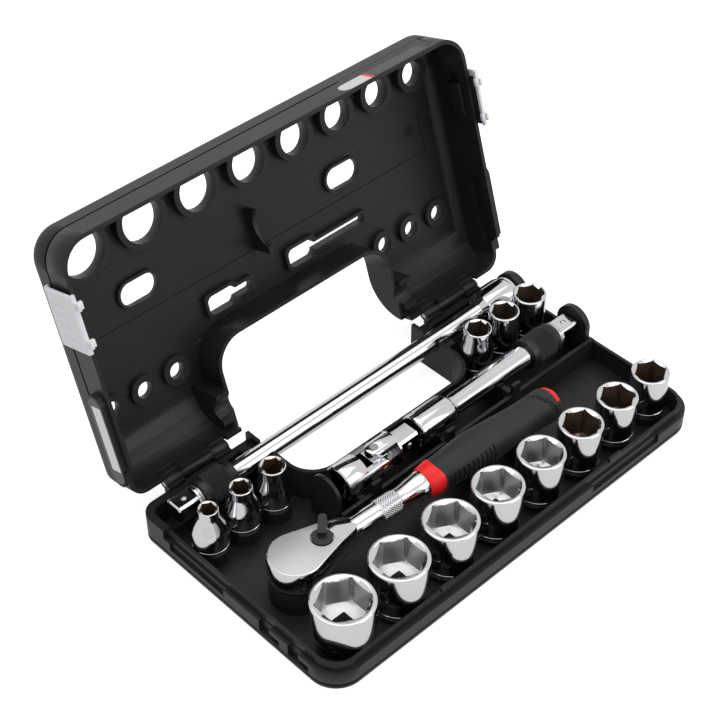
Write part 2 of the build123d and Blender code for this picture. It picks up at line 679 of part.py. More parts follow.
# Hinge pins, one through each group of knuckles
pin = rod(PIN_RADIUS, HINGE_X - HINGE_SPAN / 2, HINGE_X + HINGE_SPAN / 2, HINGE_Y, HINGE_Z)
export_step(both_ends(pin), "parts/hinge_pins.step")

# Slide latches: outer plate with grip ridges, a neck and flange through the lid, two hooked prongs
plate_x = (HALF_LENGTH + LATCH_GAP, HALF_LENGTH + LATCH_GAP + LATCH_THICK)
flange_x = HALF_LENGTH - LID_WALL - LATCH_GAP
flange_lap = LATCH_FLANGE_LAP
latch = block(
    plate_x, (LATCH_Y - LATCH_LENGTH / 2, LATCH_Y + LATCH_LENGTH / 2),
    (LATCH_BOTTOM, LATCH_BOTTOM + LATCH_HEIGHT))
latch = fillet(latch.edges().filter_by(Axis.X), LATCH_THICK)
latch += block((flange_x, plate_x[0]), neck_run, neck_rise)
latch += block(
    (flange_x - LATCH_FLANGE, flange_x), (neck_run[0] - flange_lap, neck_run[1] + flange_lap),
    (neck_rise[0] - flange_lap, neck_rise[1] + flange_lap))
for prong in (LATCH_Y - PRONG_SPREAD, LATCH_Y + PRONG_SPREAD):
    width = (prong - PRONG_WIDTH / 2, prong + PRONG_WIDTH / 2)
    latch += block((plate_x[0], plate_x[1] - LATCH_GAP), width, (PRONG_TIP, LATCH_BOTTOM + LATCH_THICK))
    latch += block((HALF_LENGTH - NUB_DEPTH, plate_x[0]), width, (PRONG_TIP, PRONG_TIP + NUB_RISE))
for n in range(RIDGE_COUNT):
    ridge_y = LATCH_Y + (n - (RIDGE_COUNT - 1) / 2) * RIDGE_PITCH
    latch += block(
        (plate_x[1], plate_x[1] + RIDGE_RISE), (ridge_y - RIDGE_WIDTH / 2, ridge_y + RIDGE_WIDTH / 2),
        (LATCH_BOTTOM + LATCH_HEIGHT / 4, LATCH_BOTTOM + LATCH_HEIGHT * 3 / 4))
export_step(opened(latch), "parts/latch_right.step")
export_step(opened(mirror(latch, Plane.YZ)), "parts/latch_left.step")

# Sockets
for size, x, y, top in socket_places():
    export_step(Pos(x, y, top - socket_height(size)) * socket(size), f"parts/socket_{int(size):02d}.step")

# Ratchet body: teardrop head, knurled neck, bell at the grip and a tang inside it
lean = asin((HEAD_RADIUS - HEAD_TAIL_RADIUS) / HEAD_TAIL)
near = (HEAD_RADIUS * sin(lean), HEAD_RADIUS * cos(lean))
tail = (HEAD_TAIL + HEAD_TAIL_RADIUS * sin(lean), HEAD_TAIL_RADIUS * cos(lean))
flank = make_face(Polyline(near, tail, (tail[0], -tail[1]), (near[0], -near[1]), close=True))
head_plan = Circle(HEAD_RADIUS) + flank + Pos(HEAD_TAIL, 0) * Circle(HEAD_TAIL_RADIUS)
head = Pos(0, 0, -HEAD_THICK / 2) * extrude(head_plan, HEAD_THICK)
head = fillet(head.edges().group_by(Axis.Z)[0], HEAD_ROUND)
bell_start = BAND_START - BELL_LENGTH
shank = turned(
    (HEAD_TAIL / 2, 0), (HEAD_TAIL / 2, SHANK_RADIUS), (KNURL_START, SHANK_RADIUS),
    (KNURL_START, KNURL_RADIUS), (KNURL_START + KNURL_LENGTH, KNURL_RADIUS),
    (KNURL_START + KNURL_LENGTH, SHANK_RADIUS),
    (bell_start, SHANK_RADIUS), (BAND_START, BELL_RADIUS), (BAND_START, TANG_RADIUS), (grip_end, TANG_RADIUS),
    (grip_end, 0))
cavity_bottom = -HEAD_THICK / 2
cavity = post(CAVITY_RADIUS, 0, 0, cavity_bottom, CAVITY_TOP)
cavity += post(PAWL_CAVITY, LEVER_X, 0, cavity_bottom, CAVITY_TOP)
dial_seat = HEAD_THICK / 2 - DIAL_SUNK
body = head + shank - cavity
body -= post(STEM_RADIUS + STEM_PLAY, LEVER_X, 0, CAVITY_TOP, HEAD_THICK)
body -= post(DIAL_RADIUS + DIAL_PLAY, LEVER_X, 0, dial_seat, HEAD_THICK)
export_step(at_ratchet(body), "parts/ratchet_body.step")

# Bottom cover, let into the mouth of the cavity
cover_top = cavity_bottom + COVER_THICK
cover = post(CAVITY_RADIUS - COVER_PLAY, 0, 0, cavity_bottom, cover_top)
cover += post(PAWL_CAVITY - COVER_PLAY, LEVER_X, 0, cavity_bottom, cover_top)
cover -= post(GEAR_HUB + GEAR_PLAY, 0, 0, cavity_bottom, cover_top)
export_step(at_ratchet(cover), "parts/ratchet_cover.step")

# Drive gear with its hub and square, and the ball in the square
points = []
for n in range(2 * GEAR_TEETH):
    reach = GEAR_RADIUS - TOOTH_DEPTH * (n % 2)
    points.append((reach * cos(n * pi / GEAR_TEETH), reach * sin(n * pi / GEAR_TEETH)))
gear_bottom = cover_top + GEAR_PLAY
gear_top = CAVITY_TOP - GEAR_PLAY
gear = Pos(0, 0, gear_bottom) * extrude(make_face(Polyline(*points, close=True)), gear_top - gear_bottom)
gear += post(GEAR_HUB, 0, 0, cavity_bottom, gear_bottom)
square = drive_square(0, SQUARE_LENGTH) - ball_pocket(BALL_BACK)
downwards = Pos(0, 0, cavity_bottom) * Rot(0, 90, 0)
gear += downwards * square
export_step(at_ratchet(gear), "parts/drive_gear.step")
export_step(at_ratchet(downwards * ball(BALL_BACK)), "parts/drive_ball.step")

# Pawl, hollowed to clear the gear, turned a little to one side on the lever's stem
pawl_middle = LEVER_X + (PAWL_BACK - PAWL_FRONT) / 2
pawl_plan = Pos(pawl_middle, 0) * Rectangle(PAWL_FRONT + PAWL_BACK, PAWL_LONG) - Circle(PAWL_FACE)
pawl_plan -= Pos(LEVER_X, 0) * Circle(STEM_RADIUS + STEM_PLAY)
pawl = Pos(0, 0, gear_bottom) * extrude(pawl_plan, gear_top - gear_bottom)
pawl = Pos(LEVER_X, 0, 0) * Rot(0, 0, PAWL_TILT) * Pos(-LEVER_X, 0, 0) * pawl
export_step(at_ratchet(pawl), "parts/pawl.step")

# Reversing lever: stem, round dial let into the head, and a finger paddle
lever = post(STEM_RADIUS, 0, 0, gear_bottom, dial_seat + DIAL_PLAY)
lever += post(DIAL_RADIUS, 0, 0, dial_seat + DIAL_PLAY, HEAD_THICK / 2 + DIAL_PROUD)
paddle = block(
    (0, PADDLE_LENGTH - PADDLE_WIDTH / 2), (-PADDLE_WIDTH / 2, PADDLE_WIDTH / 2),
    (HEAD_THICK / 2 + DIAL_PROUD, HEAD_THICK / 2 + DIAL_PROUD + PADDLE_THICK))
paddle += post(
    PADDLE_WIDTH / 2, PADDLE_LENGTH - PADDLE_WIDTH / 2, 0,
    HEAD_THICK / 2 + DIAL_PROUD, HEAD_THICK / 2 + DIAL_PROUD + PADDLE_THICK)
lever = Pos(LEVER_X, 0, 0) * Rot(0, 0, LEVER_ANGLE) * (lever + paddle)
export_step(at_ratchet(lever), "parts/reversing_lever.step")

# Coloured band, rubber grip with rib rows at both ends, and coloured end cap
band = turned(
    (BAND_START, TANG_RADIUS), (BAND_START, BELL_RADIUS), (BAND_START + BAND_LENGTH / 2, BAND_RADIUS),
    (grip_start, BAND_RADIUS), (grip_start, TANG_RADIUS))
export_step(at_ratchet(band), "parts/collar_band.step")
outline = [(grip_start, TANG_RADIUS), (grip_start, GRIP_FRONT)]
for n in range(RIB_COUNT):
    rib_at = grip_start + (n + 1) * RIB_PITCH
    outline += rib_groove(rib_at, GRIP_FRONT)
outline += [(grip_start + GRIP_LENGTH * 0.4, GRIP_MIDDLE), (grip_start + GRIP_LENGTH * 0.6, GRIP_MIDDLE)]
for n in reversed(range(RIB_COUNT)):
    rib_at = grip_end - (n + 1) * RIB_PITCH
    outline += rib_groove(rib_at, GRIP_BACK)
outline += [(grip_end, GRIP_BACK - RIB_DEPTH), (grip_end, TANG_RADIUS)]
export_step(at_ratchet(turned(*outline)), "parts/grip_sleeve.step")
cap = turned(
    (grip_end, 0), (grip_end, CAP_RADIUS), (grip_end + CAP_LENGTH / 2, CAP_RADIUS),
    (grip_end + CAP_LENGTH, CAP_RADIUS * 2 / 3), (grip_end + CAP_LENGTH, 0))
export_step(at_ratchet(cap), "parts/end_cap.step")

# Universal joint: a fork on a female square, a fork on a male square, and a cross with its pins
lug_reach = block((-LUG_HALF, FORK_ROOT), (-JOINT_RADIUS, JOINT_RADIUS), (-LUG_HALF, LUG_HALF))
lug_end = Rot(90, 0, 0) * Cylinder(LUG_HALF, 2 * JOINT_RADIUS)
lug_reach &= block((0, FORK_ROOT), (-JOINT_RADIUS, JOINT_RADIUS), (-LUG_HALF, LUG_HALF)) + lug_end
fork = (lug_reach & rod(JOINT_RADIUS, -JOINT_RADIUS, FORK_ROOT)) - block(
    (-JOINT_RADIUS, FORK_ROOT), (-FORK_INNER, FORK_INNER), (-JOINT_RADIUS, JOINT_RADIUS))
fork -= Rot(90, 0, 0) * Cylinder(JOINT_PIN + JOINT_RUN, 3 * JOINT_RADIUS)
female_length = JOINT_CENTRE - FORK_ROOT - JOINT_LEFT
stub = turned(
    (FORK_ROOT, 0), (FORK_ROOT, JOINT_RADIUS), (FORK_ROOT + female_length - END_EDGE, JOINT_RADIUS),
    (FORK_ROOT + female_length, JOINT_RADIUS - END_EDGE), (FORK_ROOT + female_length, 0))
stub -= square_hole(FORK_ROOT + female_length - JOINT_HOLE, FORK_ROOT + female_length)
joint_at = JOINT_CENTRE
export_step(at_trough(joint_at, Rot(0, 0, 180) * (fork + stub)), "parts/joint_socket_yoke.step")
shoulder_end = FORK_ROOT + SHOULDER
shoulder = turned(
    (FORK_ROOT, 0), (FORK_ROOT, JOINT_RADIUS), (FORK_ROOT + SHOULDER / 2, JOINT_RADIUS),
    (shoulder_end, DRIVE_SQUARE / 2), (shoulder_end, 0))
drive_end = drive_square(FORK_ROOT + SHOULDER / 2, shoulder_end + SQUARE_LENGTH)
drive_end -= ball_pocket(shoulder_end + BALL_BACK)
quarter = Rot(90, 0, 0)
export_step(at_trough(joint_at, quarter * (fork + shoulder + drive_end)), "parts/joint_drive_yoke.step")
export_step(at_trough(joint_at, quarter * ball(shoulder_end + BALL_BACK)), "parts/joint_ball.step")
cross_side = 2 * (FORK_INNER - CROSS_PLAY)
long_pin = Rot(90, 0, 0) * Cylinder(JOINT_PIN, 2 * JOINT_RADIUS - CROSS_PLAY)
short_pins = Cylinder(JOINT_PIN, 2 * JOINT_RADIUS - CROSS_PLAY) - Rot(90, 0, 0) * Cylinder(
    JOINT_PIN + JOINT_RUN, 2 * JOINT_RADIUS)
cross = Box(cross_side, cross_side, cross_side) - Cylinder(JOINT_PIN, 2 * cross_side) - long_pin
export_step(at_trough(joint_at, cross), "parts/joint_cross.step")
export_step(at_trough(joint_at, long_pin), "parts/joint_long_pin.step")
export_step(at_trough(joint_at, short_pins), "parts/joint_short_pins.step")


def extension(name, place, length, shaft):
    """One extension: bar, locking collar, its spring and ring, and the ball in the square."""
    shoulder_x = length - SQUARE_LENGTH
    bar = turned(
        (0, 0), (0, FEMALE_RADIUS - END_EDGE), (END_EDGE, FEMALE_RADIUS), (FEMALE_LENGTH, FEMALE_RADIUS),
        (FEMALE_LENGTH + FEMALE_FLARE, shaft), (shoulder_x - TIP_WIDTH, shaft),
        (shoulder_x - TIP_WIDTH, TIP_RADIUS), (shoulder_x, TIP_RADIUS), (shoulder_x, 0))
    bar = bar - square_hole(0, FEMALE_HOLE) + drive_square(shoulder_x - 1, length)
    bar -= ball_pocket(length - BALL_BACK)
    front = length - COLLAR_BACK
    back = front - COLLAR_LENGTH
    collar = turned(
        (back, shaft + COLLAR_RUN), (back, COLLAR_LIP_RADIUS), (back + COLLAR_LIP, COLLAR_LIP_RADIUS),
        (back + COLLAR_LIP, COLLAR_RADIUS), (front - END_EDGE, COLLAR_RADIUS),
        (front, COLLAR_RADIUS - END_EDGE), (front, shaft + COLLAR_RUN),
        (front - COLLAR_END, shaft + COLLAR_RUN),
        (front - COLLAR_END, COLLAR_CHAMBER), (back + COLLAR_END, COLLAR_CHAMBER),
        (back + COLLAR_END, shaft + COLLAR_RUN))
    spring_back = back + COLLAR_END + SPRING_PLAY
    spring_front = front - COLLAR_END - COLLAR_TRAVEL - SPRING_PLAY
    spring = rod(shaft + SPRING_WALL, spring_back, spring_front) - rod(shaft, spring_back, spring_front)
    ring_front = front + RING_PLAY + RING_WIDTH
    ring = rod(shaft + RING_WALL, front + RING_PLAY, ring_front)
    ring -= rod(shaft, front + RING_PLAY, ring_front)
    export_step(place(bar), f"parts/{name}_bar.step")
    export_step(place(collar), f"parts/{name}_collar.step")
    export_step(place(spring), f"parts/{name}_spring.step")
    export_step(place(ring), f"parts/{name}_ring.step")
    export_step(place(ball(length - BALL_BACK)), f"parts/{name}_ball.step")


# Short extension in the trough, and the long one that bridges the notch as the carry handle
extension("short", lambda shape: at_trough(SHORT_FEMALE_X, shape), SHORT_LENGTH, SHORT_SHAFT)
extension("long", at_long, LONG_LENGTH, LONG_SHAFT)
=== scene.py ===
import math

import bmesh
import bpy
from mathutils import Matrix, Vector


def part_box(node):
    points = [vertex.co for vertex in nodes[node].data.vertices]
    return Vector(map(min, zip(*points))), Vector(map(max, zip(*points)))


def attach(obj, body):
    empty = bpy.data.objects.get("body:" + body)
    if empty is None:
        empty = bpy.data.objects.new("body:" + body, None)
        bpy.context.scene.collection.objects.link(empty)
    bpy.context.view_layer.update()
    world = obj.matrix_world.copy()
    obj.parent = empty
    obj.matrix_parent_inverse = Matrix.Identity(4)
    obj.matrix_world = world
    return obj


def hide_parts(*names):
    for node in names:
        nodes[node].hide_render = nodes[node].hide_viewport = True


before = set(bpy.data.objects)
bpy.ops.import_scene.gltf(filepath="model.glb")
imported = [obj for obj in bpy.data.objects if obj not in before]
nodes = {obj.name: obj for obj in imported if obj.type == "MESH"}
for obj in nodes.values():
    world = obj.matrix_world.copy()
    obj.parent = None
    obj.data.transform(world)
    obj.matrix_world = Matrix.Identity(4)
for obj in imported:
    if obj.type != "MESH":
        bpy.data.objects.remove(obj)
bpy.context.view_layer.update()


# The base tray: one injection moulding in black polypropylene, spark-eroded to a fine matt grain.
# Ribs, plinths, pegs and the notch rim all come out of the same tool, with softened edges.
class Tone:
    """A socket in a finish's node tree; sums on it add Math nodes."""

    def __init__(self, tree, socket=None):
        self.tree = tree
        self.socket = socket

    def node(self, kind, settings, sockets, out=0):
        """A new node: its settings first, then the values or links of its sockets."""
        made = self.tree.nodes.new("ShaderNode" + kind)
        for name, value in settings.items():
            if name == "stops":
                for stop, (place, colour) in zip(made.color_ramp.elements, value):
                    stop.position = place
                    stop.color = colour
            else:
                setattr(made, name, value)
        for name, value in sockets.items():
            if isinstance(value, Tone):
                self.tree.links.new(value.socket, made.inputs[name])
            else:
                made.inputs[name].default_value = value
        return Tone(self.tree, made.outputs[out])

    def sum_of(self, operation, first, second):
        """One Math node on two values."""
        return self.node("Math", {"operation": operation}, {0: first, 1: second})

    def __add__(self, other):
        return self.sum_of("ADD", self, other)

    def __mul__(self, other):
        return self.sum_of("MULTIPLY", self, other)

    def __gt__(self, other):
        return self.sum_of("GREATER_THAN", self, other)

    def __lt__(self, other):
        return self.sum_of("LESS_THAN", self, other)

    __radd__ = __add__
    __rmul__ = __mul__

    def place(self):
        """Where a point of the surface lies on the piece, in metres."""
        return self.node("TexCoord", {}, {}, out="Object")

    def speckle(self, scale, detail):
        """Even random grain, about one fleck to each 1/scale metres."""
        sockets = {"Vector": self.place(), "Scale": scale, "Detail": detail}
        return self.node("TexNoise", {}, sockets, out="Fac")

    def between(self, share, first, second):
        """A colour mixed from two by a share."""
        stops = [(0.0, (*first, 1.0)), (1.0, (*second, 1.0))]
        return self.node("ValToRGB", {"stops": stops}, {"Fac": share}, out="Color")

    def raised(self, height, distance, strength):
        """A bump from heights, for the shader's normal."""
        sockets = {"Height": height, "Distance": distance, "Strength": strength}
        return self.node("Bump", {}, sockets, out="Normal")


def finish(name, constants):
    """A new material with its shader's constant sockets set, and the start of its tree."""
    material = bpy.data.materials.new(name)
    material.use_nodes = True
    shader = material.node_tree.nodes["Principled BSDF"]
    for socket, value in constants.items():
        shader.inputs[socket].default_value = value
    return material, Tone(material.node_tree)


def feed(material, tones):
    """Links what varies over the surface to the material's shader."""
    tree = material.node_tree
    for socket, tone in tones.items():
        tree.links.new(tone.socket, tree.nodes["Principled BSDF"].inputs[socket])


def wear(piece, *materials):
    """Puts finishes on a piece in place of what it had; a new piece's faces keep their choice of finish."""
    if piece.data.materials:
        piece.data.materials.clear()
    for material in materials:
        piece.data.materials.append(material)


WELD_GAP = 0.000002
SHARP_EDGE = math.radians(35)


def soften(piece, width):
    """Small rounded edges on a hard-edged moulding or forging."""
    weld = piece.modifiers.new("weld", "WELD")
    weld.merge_threshold = WELD_GAP
    bevel = piece.modifiers.new("edges", "BEVEL")
    bevel.width = width
    bevel.segments = 2
    bevel.limit_method = "ANGLE"
    bevel.angle_limit = SHARP_EDGE
    bevel.harden_normals = True
    bevel.use_clamp_overlap = True


MOULDED_EDGE = 0.0003
case_plastic, tone = finish("case_plastic", {"Specular IOR Level": 0.22})
grain = tone.speckle(2600, 2.0)
clouds = tone.speckle(34, 5.0)
rubbed = tone.speckle(170, 6.0)
feed(case_plastic, {
    "Base Color": tone.between(clouds, (0.0105, 0.0103, 0.0110), (0.0175, 0.0172, 0.0184)),
    "Roughness": 0.26 + 0.14 * clouds + 0.1 * rubbed,
    "Normal": tone.raised(grain + 0.3 * rubbed, 0.00005, 0.4),
})
wear(nodes["base_tray"], case_plastic)
soften(nodes["base_tray"], MOULDED_EDGE)


# The lid: moulded in the same black plastic, hinged on two steel pins through interleaved knuckles.
# It stands open a little past upright, so its rings, windows and ribs face the front.
wear(nodes["lid_shell"], case_plastic)
soften(nodes["lid_shell"], MOULDED_EDGE)
pin_steel, tone = finish("pin_steel", {"Metallic": 1.0, "Base Color": (0.42, 0.42, 0.43, 1)})
brushed = tone.speckle(900, 4.0)
feed(pin_steel, {"Roughness": 0.22 + 0.2 * brushed, "Normal": tone.raised(brushed, 0.00002, 0.3)})
wear(nodes["hinge_pins"], pin_steel)


# Two blank places on the lid: a white writing strip let into the left panel, and a two-tone label
# plate let into the wall of the free edge. Both are thin plain film, pressed on with their own glue.
HINGE_Y = 65.85
HINGE_Z = 17.0
OPEN_ANGLE = math.radians(107.5)
MILLIMETRE = 0.001


def on_open_lid(x, y, z):
    """A point of the closed lid, in millimetres, swung open about the hinge."""
    along = y - HINGE_Y
    above = z - HINGE_Z
    swing_cos = math.cos(OPEN_ANGLE)
    swing_sin = math.sin(OPEN_ANGLE)
    return (
        x,
        HINGE_Y + along * swing_cos + above * swing_sin,
        HINGE_Z - along * swing_sin + above * swing_cos)


def settle(name, body, smooth=30.0):
    """A new piece from a mesh built in millimetres, facing outward and shaded smooth up to an angle."""
    for corner in body.verts:
        corner.co *= MILLIMETRE
    body.normal_update()
    bmesh.ops.recalc_face_normals(body, faces=body.faces)
    mesh = bpy.data.meshes.new(name)
    body.to_mesh(mesh)
    body.free()
    mesh.shade_smooth()
    mesh.set_sharp_from_angle(angle=math.radians(smooth))
    piece = bpy.data.objects.new(name, mesh)
    bpy.context.scene.collection.objects.link(piece)
    return piece


def piece_of(name, points, faces):
    """A new piece from points in millimetres and the faces between them."""
    draft = bpy.data.meshes.new(name)
    draft.from_pydata(points, [], faces)
    draft.validate()
    body = bmesh.new()
    body.from_mesh(draft)
    bpy.data.meshes.remove(draft)
    return settle(name, body)


CORNER_STEPS = 6


def rounded_outline(width, height, corner):
    """Points round a rectangle with rounded corners, about its middle."""
    points = []
    for turn, (sx, sy) in enumerate(((1, 1), (-1, 1), (-1, -1), (1, -1))):
        for n in range(CORNER_STEPS + 1):
            angle = (turn + n / CORNER_STEPS) * math.pi / 2
            points.append((
                sx * (width / 2 - corner) + corner * math.cos(angle),
                sy * (height / 2 - corner) + corner * math.sin(angle)))
    return points


def film(name, width, height, corner, rise, put):
    """A thin rounded plate with a softened edge; put turns a flat point and a rise into a place."""
    layers = ((0.0, 0.0), (0.0, rise * 0.7), (rise * 0.5, rise))
    points = []
    for inset, level in layers:
        ring = rounded_outline(width - 2 * inset, height - 2 * inset, corner - inset)
        points += [put(u, v, level) for u, v in ring]
    count = len(points) // len(layers)
    faces = [list(range(count))[::-1], list(range(2 * count, 3 * count))]
    for low in range(0, 2 * count, count):
        high = low + count
        for n in range(count):
            after = (n + 1) % count
            faces.append((low + n, low + after, high + after, high + n))
    return piece_of(name, points, faces)


PANEL_FACE = -119.7
FILM_RISE = 0.03
STRIP_LIFT = 0.02


def on_panel(y, z, lift):
    """Puts a film on the lid's left end panel, lifted off its face."""
    return lambda u, v, level: on_open_lid(PANEL_FACE - lift - level, y + u, z + v)


panel_film = film(
    "panel_film", width=44.0, height=9.6, corner=4.6, rise=FILM_RISE, put=on_panel(31.4, 17.3, 0.0))
black_film, tone = finish("black_film", {"Specular IOR Level": 0.45})
smear = tone.speckle(150, 5.0)
feed(black_film, {
    "Base Color": tone.between(smear, (0.010, 0.010, 0.011), (0.016, 0.016, 0.017)),
    "Roughness": 0.22 + 0.14 * smear,
})
wear(panel_film, black_film)
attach(panel_film, "lid")
strip = film(
    "writing_strip", width=33.0, height=6.6, corner=0.5, rise=FILM_RISE,
    put=on_panel(30.0, 16.6, STRIP_LIFT))
white_film, tone = finish("white_film", {"Specular IOR Level": 0.35})
fibres = tone.speckle(500, 4.0)
feed(white_film, {
    "Base Color": tone.between(fibres, (0.74, 0.745, 0.75), (0.82, 0.825, 0.83)),
    "Roughness": 0.42 + 0.2 * fibres,
})
wear(strip, white_film)
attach(strip, "lid")

WALL_FACE = -63.25
SEAT_SUNK = 0.5
SEAT_RISE = 0.47
LABEL_RISE = 0.06
PALE_END = 0.0600
RED_END = 0.0618


def on_free_edge(x, z, sunk):
    """Puts a plate on the wall of the lid's free edge, sunk into its face."""
    return lambda u, v, level: on_open_lid(x + u, WALL_FACE + sunk - level, z + v)


filler = film(
    "label_seat", width=51.96, height=10.96, corner=0.3, rise=SEAT_RISE,
    put=on_free_edge(76.3, 19.5, SEAT_SUNK))
wear(filler, case_plastic)
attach(filler, "lid")
label = film(
    "label_plate", width=53.0, height=8.2, corner=3.9, rise=LABEL_RISE,
    put=on_free_edge(70.5, 14.9, 0.0))
label_film, tone = finish("label_film", {"Specular IOR Level": 0.4})
across = tone.node("SeparateXYZ", {}, {"Vector": tone.place()}, out="X")
pale = across < PALE_END
red_line = (across > PALE_END) * (across < RED_END)
fibres = tone.speckle(420, 4.0)
dark_or_pale = tone.between(pale, (0.012, 0.012, 0.013), (0.55, 0.55, 0.56))
with_red = tone.node(
    "Mix", {"data_type": "RGBA"}, {"Factor": red_line, 6: dark_or_pale, 7: (0.68, 0.02, 0.02, 1)}, out=2)
feed(label_film, {"Base Color": with_red, "Roughness": 0.26 + 0.14 * fibres})
wear(label, label_film)
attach(label, "lid")


# Two round mould inserts on the lid's inner face: plain discs that the moulder turns by hand, each
# leaving a shallow matt round on the plastic with a fine ring about it.
MOULD_ROUNDS = ((95.6, -17.2, 37.0), (107.3, -16.3, 36.5))
MOULD_SUNK = 0.02
matt_round, tone = finish("matt_round", {"Specular IOR Level": 0.2})
etched = tone.speckle(1500, 3.0)
feed(matt_round, {
    "Base Color": tone.between(etched, (0.0030, 0.0030, 0.0032), (0.0080, 0.0080, 0.0085)),
    "Roughness": 0.55 + 0.2 * etched,
    "Normal": tone.raised(etched, 0.0002, 0.6),
})
for number, (x, y, face) in enumerate(MOULD_ROUNDS):
    for part, width, rise, look in (("ring", 7.2, 0.20, case_plastic), ("round", 6.2, 0.28, matt_round)):
        mark = film(
            f"mould_{part}_{number}", width, width, width / 2 - MOULD_SUNK, rise,
            lambda u, v, level: on_open_lid(x + u, y + v, face + MOULD_SUNK - level))
        wear(mark, look)
        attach(mark, "lid")


# Hinge covers: thin webs of the same black plastic that close the gaps round the knuckles, on the lid
# above the base's knuckles and on the base under the lid's, so no daylight shows through.
def bricks(name, boxes, edge, put):
    """Soft-edged blocks in one mesh; each box is its x, y and z spans in millimetres and a finish."""
    body = bmesh.new()
    for spans, look in boxes:
        corners = bmesh.ops.create_cube(body, size=1.0)["verts"]
        for corner in corners:
            corner.co = [
                (low + high) / 2 + share * (high - low)
                for share, (low, high) in zip(corner.co, spans)]
        for face in {face for corner in corners for face in corner.link_faces}:
            face.material_index = look
        rims = list({rim for corner in corners for rim in corner.link_edges})
        bmesh.ops.bevel(
            body, geom=rims, offset=edge, segments=2, profile=0.5, affect="EDGES", material=-1)
    for corner in body.verts:
        corner.co = put(*corner.co)
    return settle(name, body)


HINGE_X = 82.0
KNUCKLE = 9.0
LAP = 0.3
WEB_Y = (61.3, 63.15)
WEB_Z = (17.1, 21.7)
LEDGE_Y = (63.2, 65.2)
LEDGE_Z = (12.5, 14.3)
WEB_EDGE = 0.2
LEDGE_EDGE = 0.3
lid_webs = []
base_ledges = []
for middle in (-HINGE_X, HINGE_X):
    for start in (middle - 2 * KNUCKLE, middle + KNUCKLE):
        lid_webs.append((((start - LAP, start + KNUCKLE + LAP), WEB_Y, WEB_Z), 0))
    base_ledges.append((((middle - KNUCKLE - LAP, middle + KNUCKLE + LAP), LEDGE_Y, LEDGE_Z), 0))
webs = bricks("hinge_webs", lid_webs, WEB_EDGE, on_open_lid)
wear(webs, case_plastic)
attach(webs, "lid")
ledges = bricks("hinge_ledges", base_ledges, LEDGE_EDGE, lambda x, y, z: (x, y, z))
wear(ledges, case_plastic)
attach(ledges, "base")


# The two slide latches: a pale grey acetal cover folded over at both edges, clasped on a black carrier
# that runs through a slot in the lid's end wall, with two hooked prongs for the base.
LATCH_Y = -29.0
LATCH_HALF = 14.0
LATCH_LOW = 6.2
LATCH_HIGH = 27.0
LATCH_OUT = 120.0
LATCH_BACK = 117.4
LATCH_INSIDE = 118.6
LATCH_FOLD = 1.7
LATCH_LIP = 1.5
LATCH_ROWS = 112
FOLD_STEPS = 8
FACE_STEPS = 40
CROWN_DROP = 0.6
CROWN_RUN = 1.2
SCOOPS = 4
SCOOP_PITCH = 5.4
SCOOP_DEPTH = 1.0
SCOOP_LENGTH = 2.0
SCOOP_HALF = 5.2
SCOOP_BOW = 0.25
SCOOP_STOP = 2.4
latch_plastic, tone = finish("latch_plastic", {"Specular IOR Level": 0.45})
fleck = tone.speckle(1500, 3.0)
scuff = tone.speckle(120, 6.0)
feed(latch_plastic, {
    "Base Color": tone.between(scuff, (0.68, 0.69, 0.71), (0.78, 0.79, 0.81)),
    "Roughness": 0.34 + 0.16 * scuff,
    "Normal": tone.raised(fleck, 0.00004, 0.3),
})


def scoop_depth(y, z):
    """How far the thumb scoops cut in: each a slow ramp and a steep stop, bowed across the latch."""
    across_it = (z - (LATCH_LOW + LATCH_HIGH) / 2) / SCOOP_HALF
    width = max(0.0, 1.0 - across_it * across_it)
    depth = 0.0
    for row in range(SCOOPS):
        start = LATCH_Y + (row - (SCOOPS - 1) / 2) * SCOOP_PITCH
        along = (y - start) / SCOOP_LENGTH - SCOOP_BOW * across_it * across_it
        ramp = min(0.5 + 0.5 * along, SCOOP_STOP * (1.0 - along))
        depth += SCOOP_DEPTH * max(0.0, ramp) * width
    return depth


def latch_section(y):
    """The folded cover's outline across the latch, from one inner lip over the face to the other."""
    end = LATCH_HALF - abs(y - LATCH_Y)
    crown = CROWN_DROP * max(0.0, 1.0 - end / CROWN_RUN) ** 2
    fold = []
    for n in range(FOLD_STEPS):
        turn = n / FOLD_STEPS * math.pi / 2
        fold.append((
            LATCH_OUT - LATCH_FOLD + LATCH_FOLD * math.sin(turn),
            LATCH_FOLD * (1 - math.cos(turn))))
    outline = [(LATCH_BACK, LATCH_LOW)] + [(x, LATCH_LOW + rise) for x, rise in fold]
    span = LATCH_HIGH - LATCH_LOW - 2 * LATCH_FOLD
    for n in range(FACE_STEPS + 1):
        z = LATCH_LOW + LATCH_FOLD + n / FACE_STEPS * span
        outline.append((LATCH_OUT - scoop_depth(y, z), z))
    outline += [(x, LATCH_HIGH - rise) for x, rise in fold[::-1]] + [(LATCH_BACK, LATCH_HIGH)]
    low_lip = LATCH_LOW + LATCH_LIP
    high_lip = LATCH_HIGH - LATCH_LIP
    outline += [(LATCH_BACK, high_lip), (LATCH_INSIDE, high_lip)]
    outline += [(LATCH_INSIDE, low_lip), (LATCH_BACK, low_lip)]
    return [(min(x, LATCH_OUT - crown), z) for x, z in outline]


def skin(name, rings, bands=(), closed=False, ends=()):
    """A mesh over rings of points; bands gives each strip's finish, and ends that of the flat ends."""
    count = len(rings[0])
    points = [point for ring in rings for point in ring]
    last = len(rings) if closed else len(rings) - 1
    faces = []
    looks = []
    for row, band in enumerate(bands or [0] * last):
        low = row * count
        high = (row + 1) % len(rings) * count
        for n in range(count):
            after = (n + 1) % count
            faces.append((low + n, low + after, high + after, high + n))
            looks.append(band)
    for end, look in zip((0, len(rings) - 1), ends):
        faces.append(tuple(range(end * count, (end + 1) * count)))
        looks.append(look)
    piece = piece_of(name, points, faces)
    for face, look in zip(piece.data.polygons, looks):
        face.material_index = look
    return piece


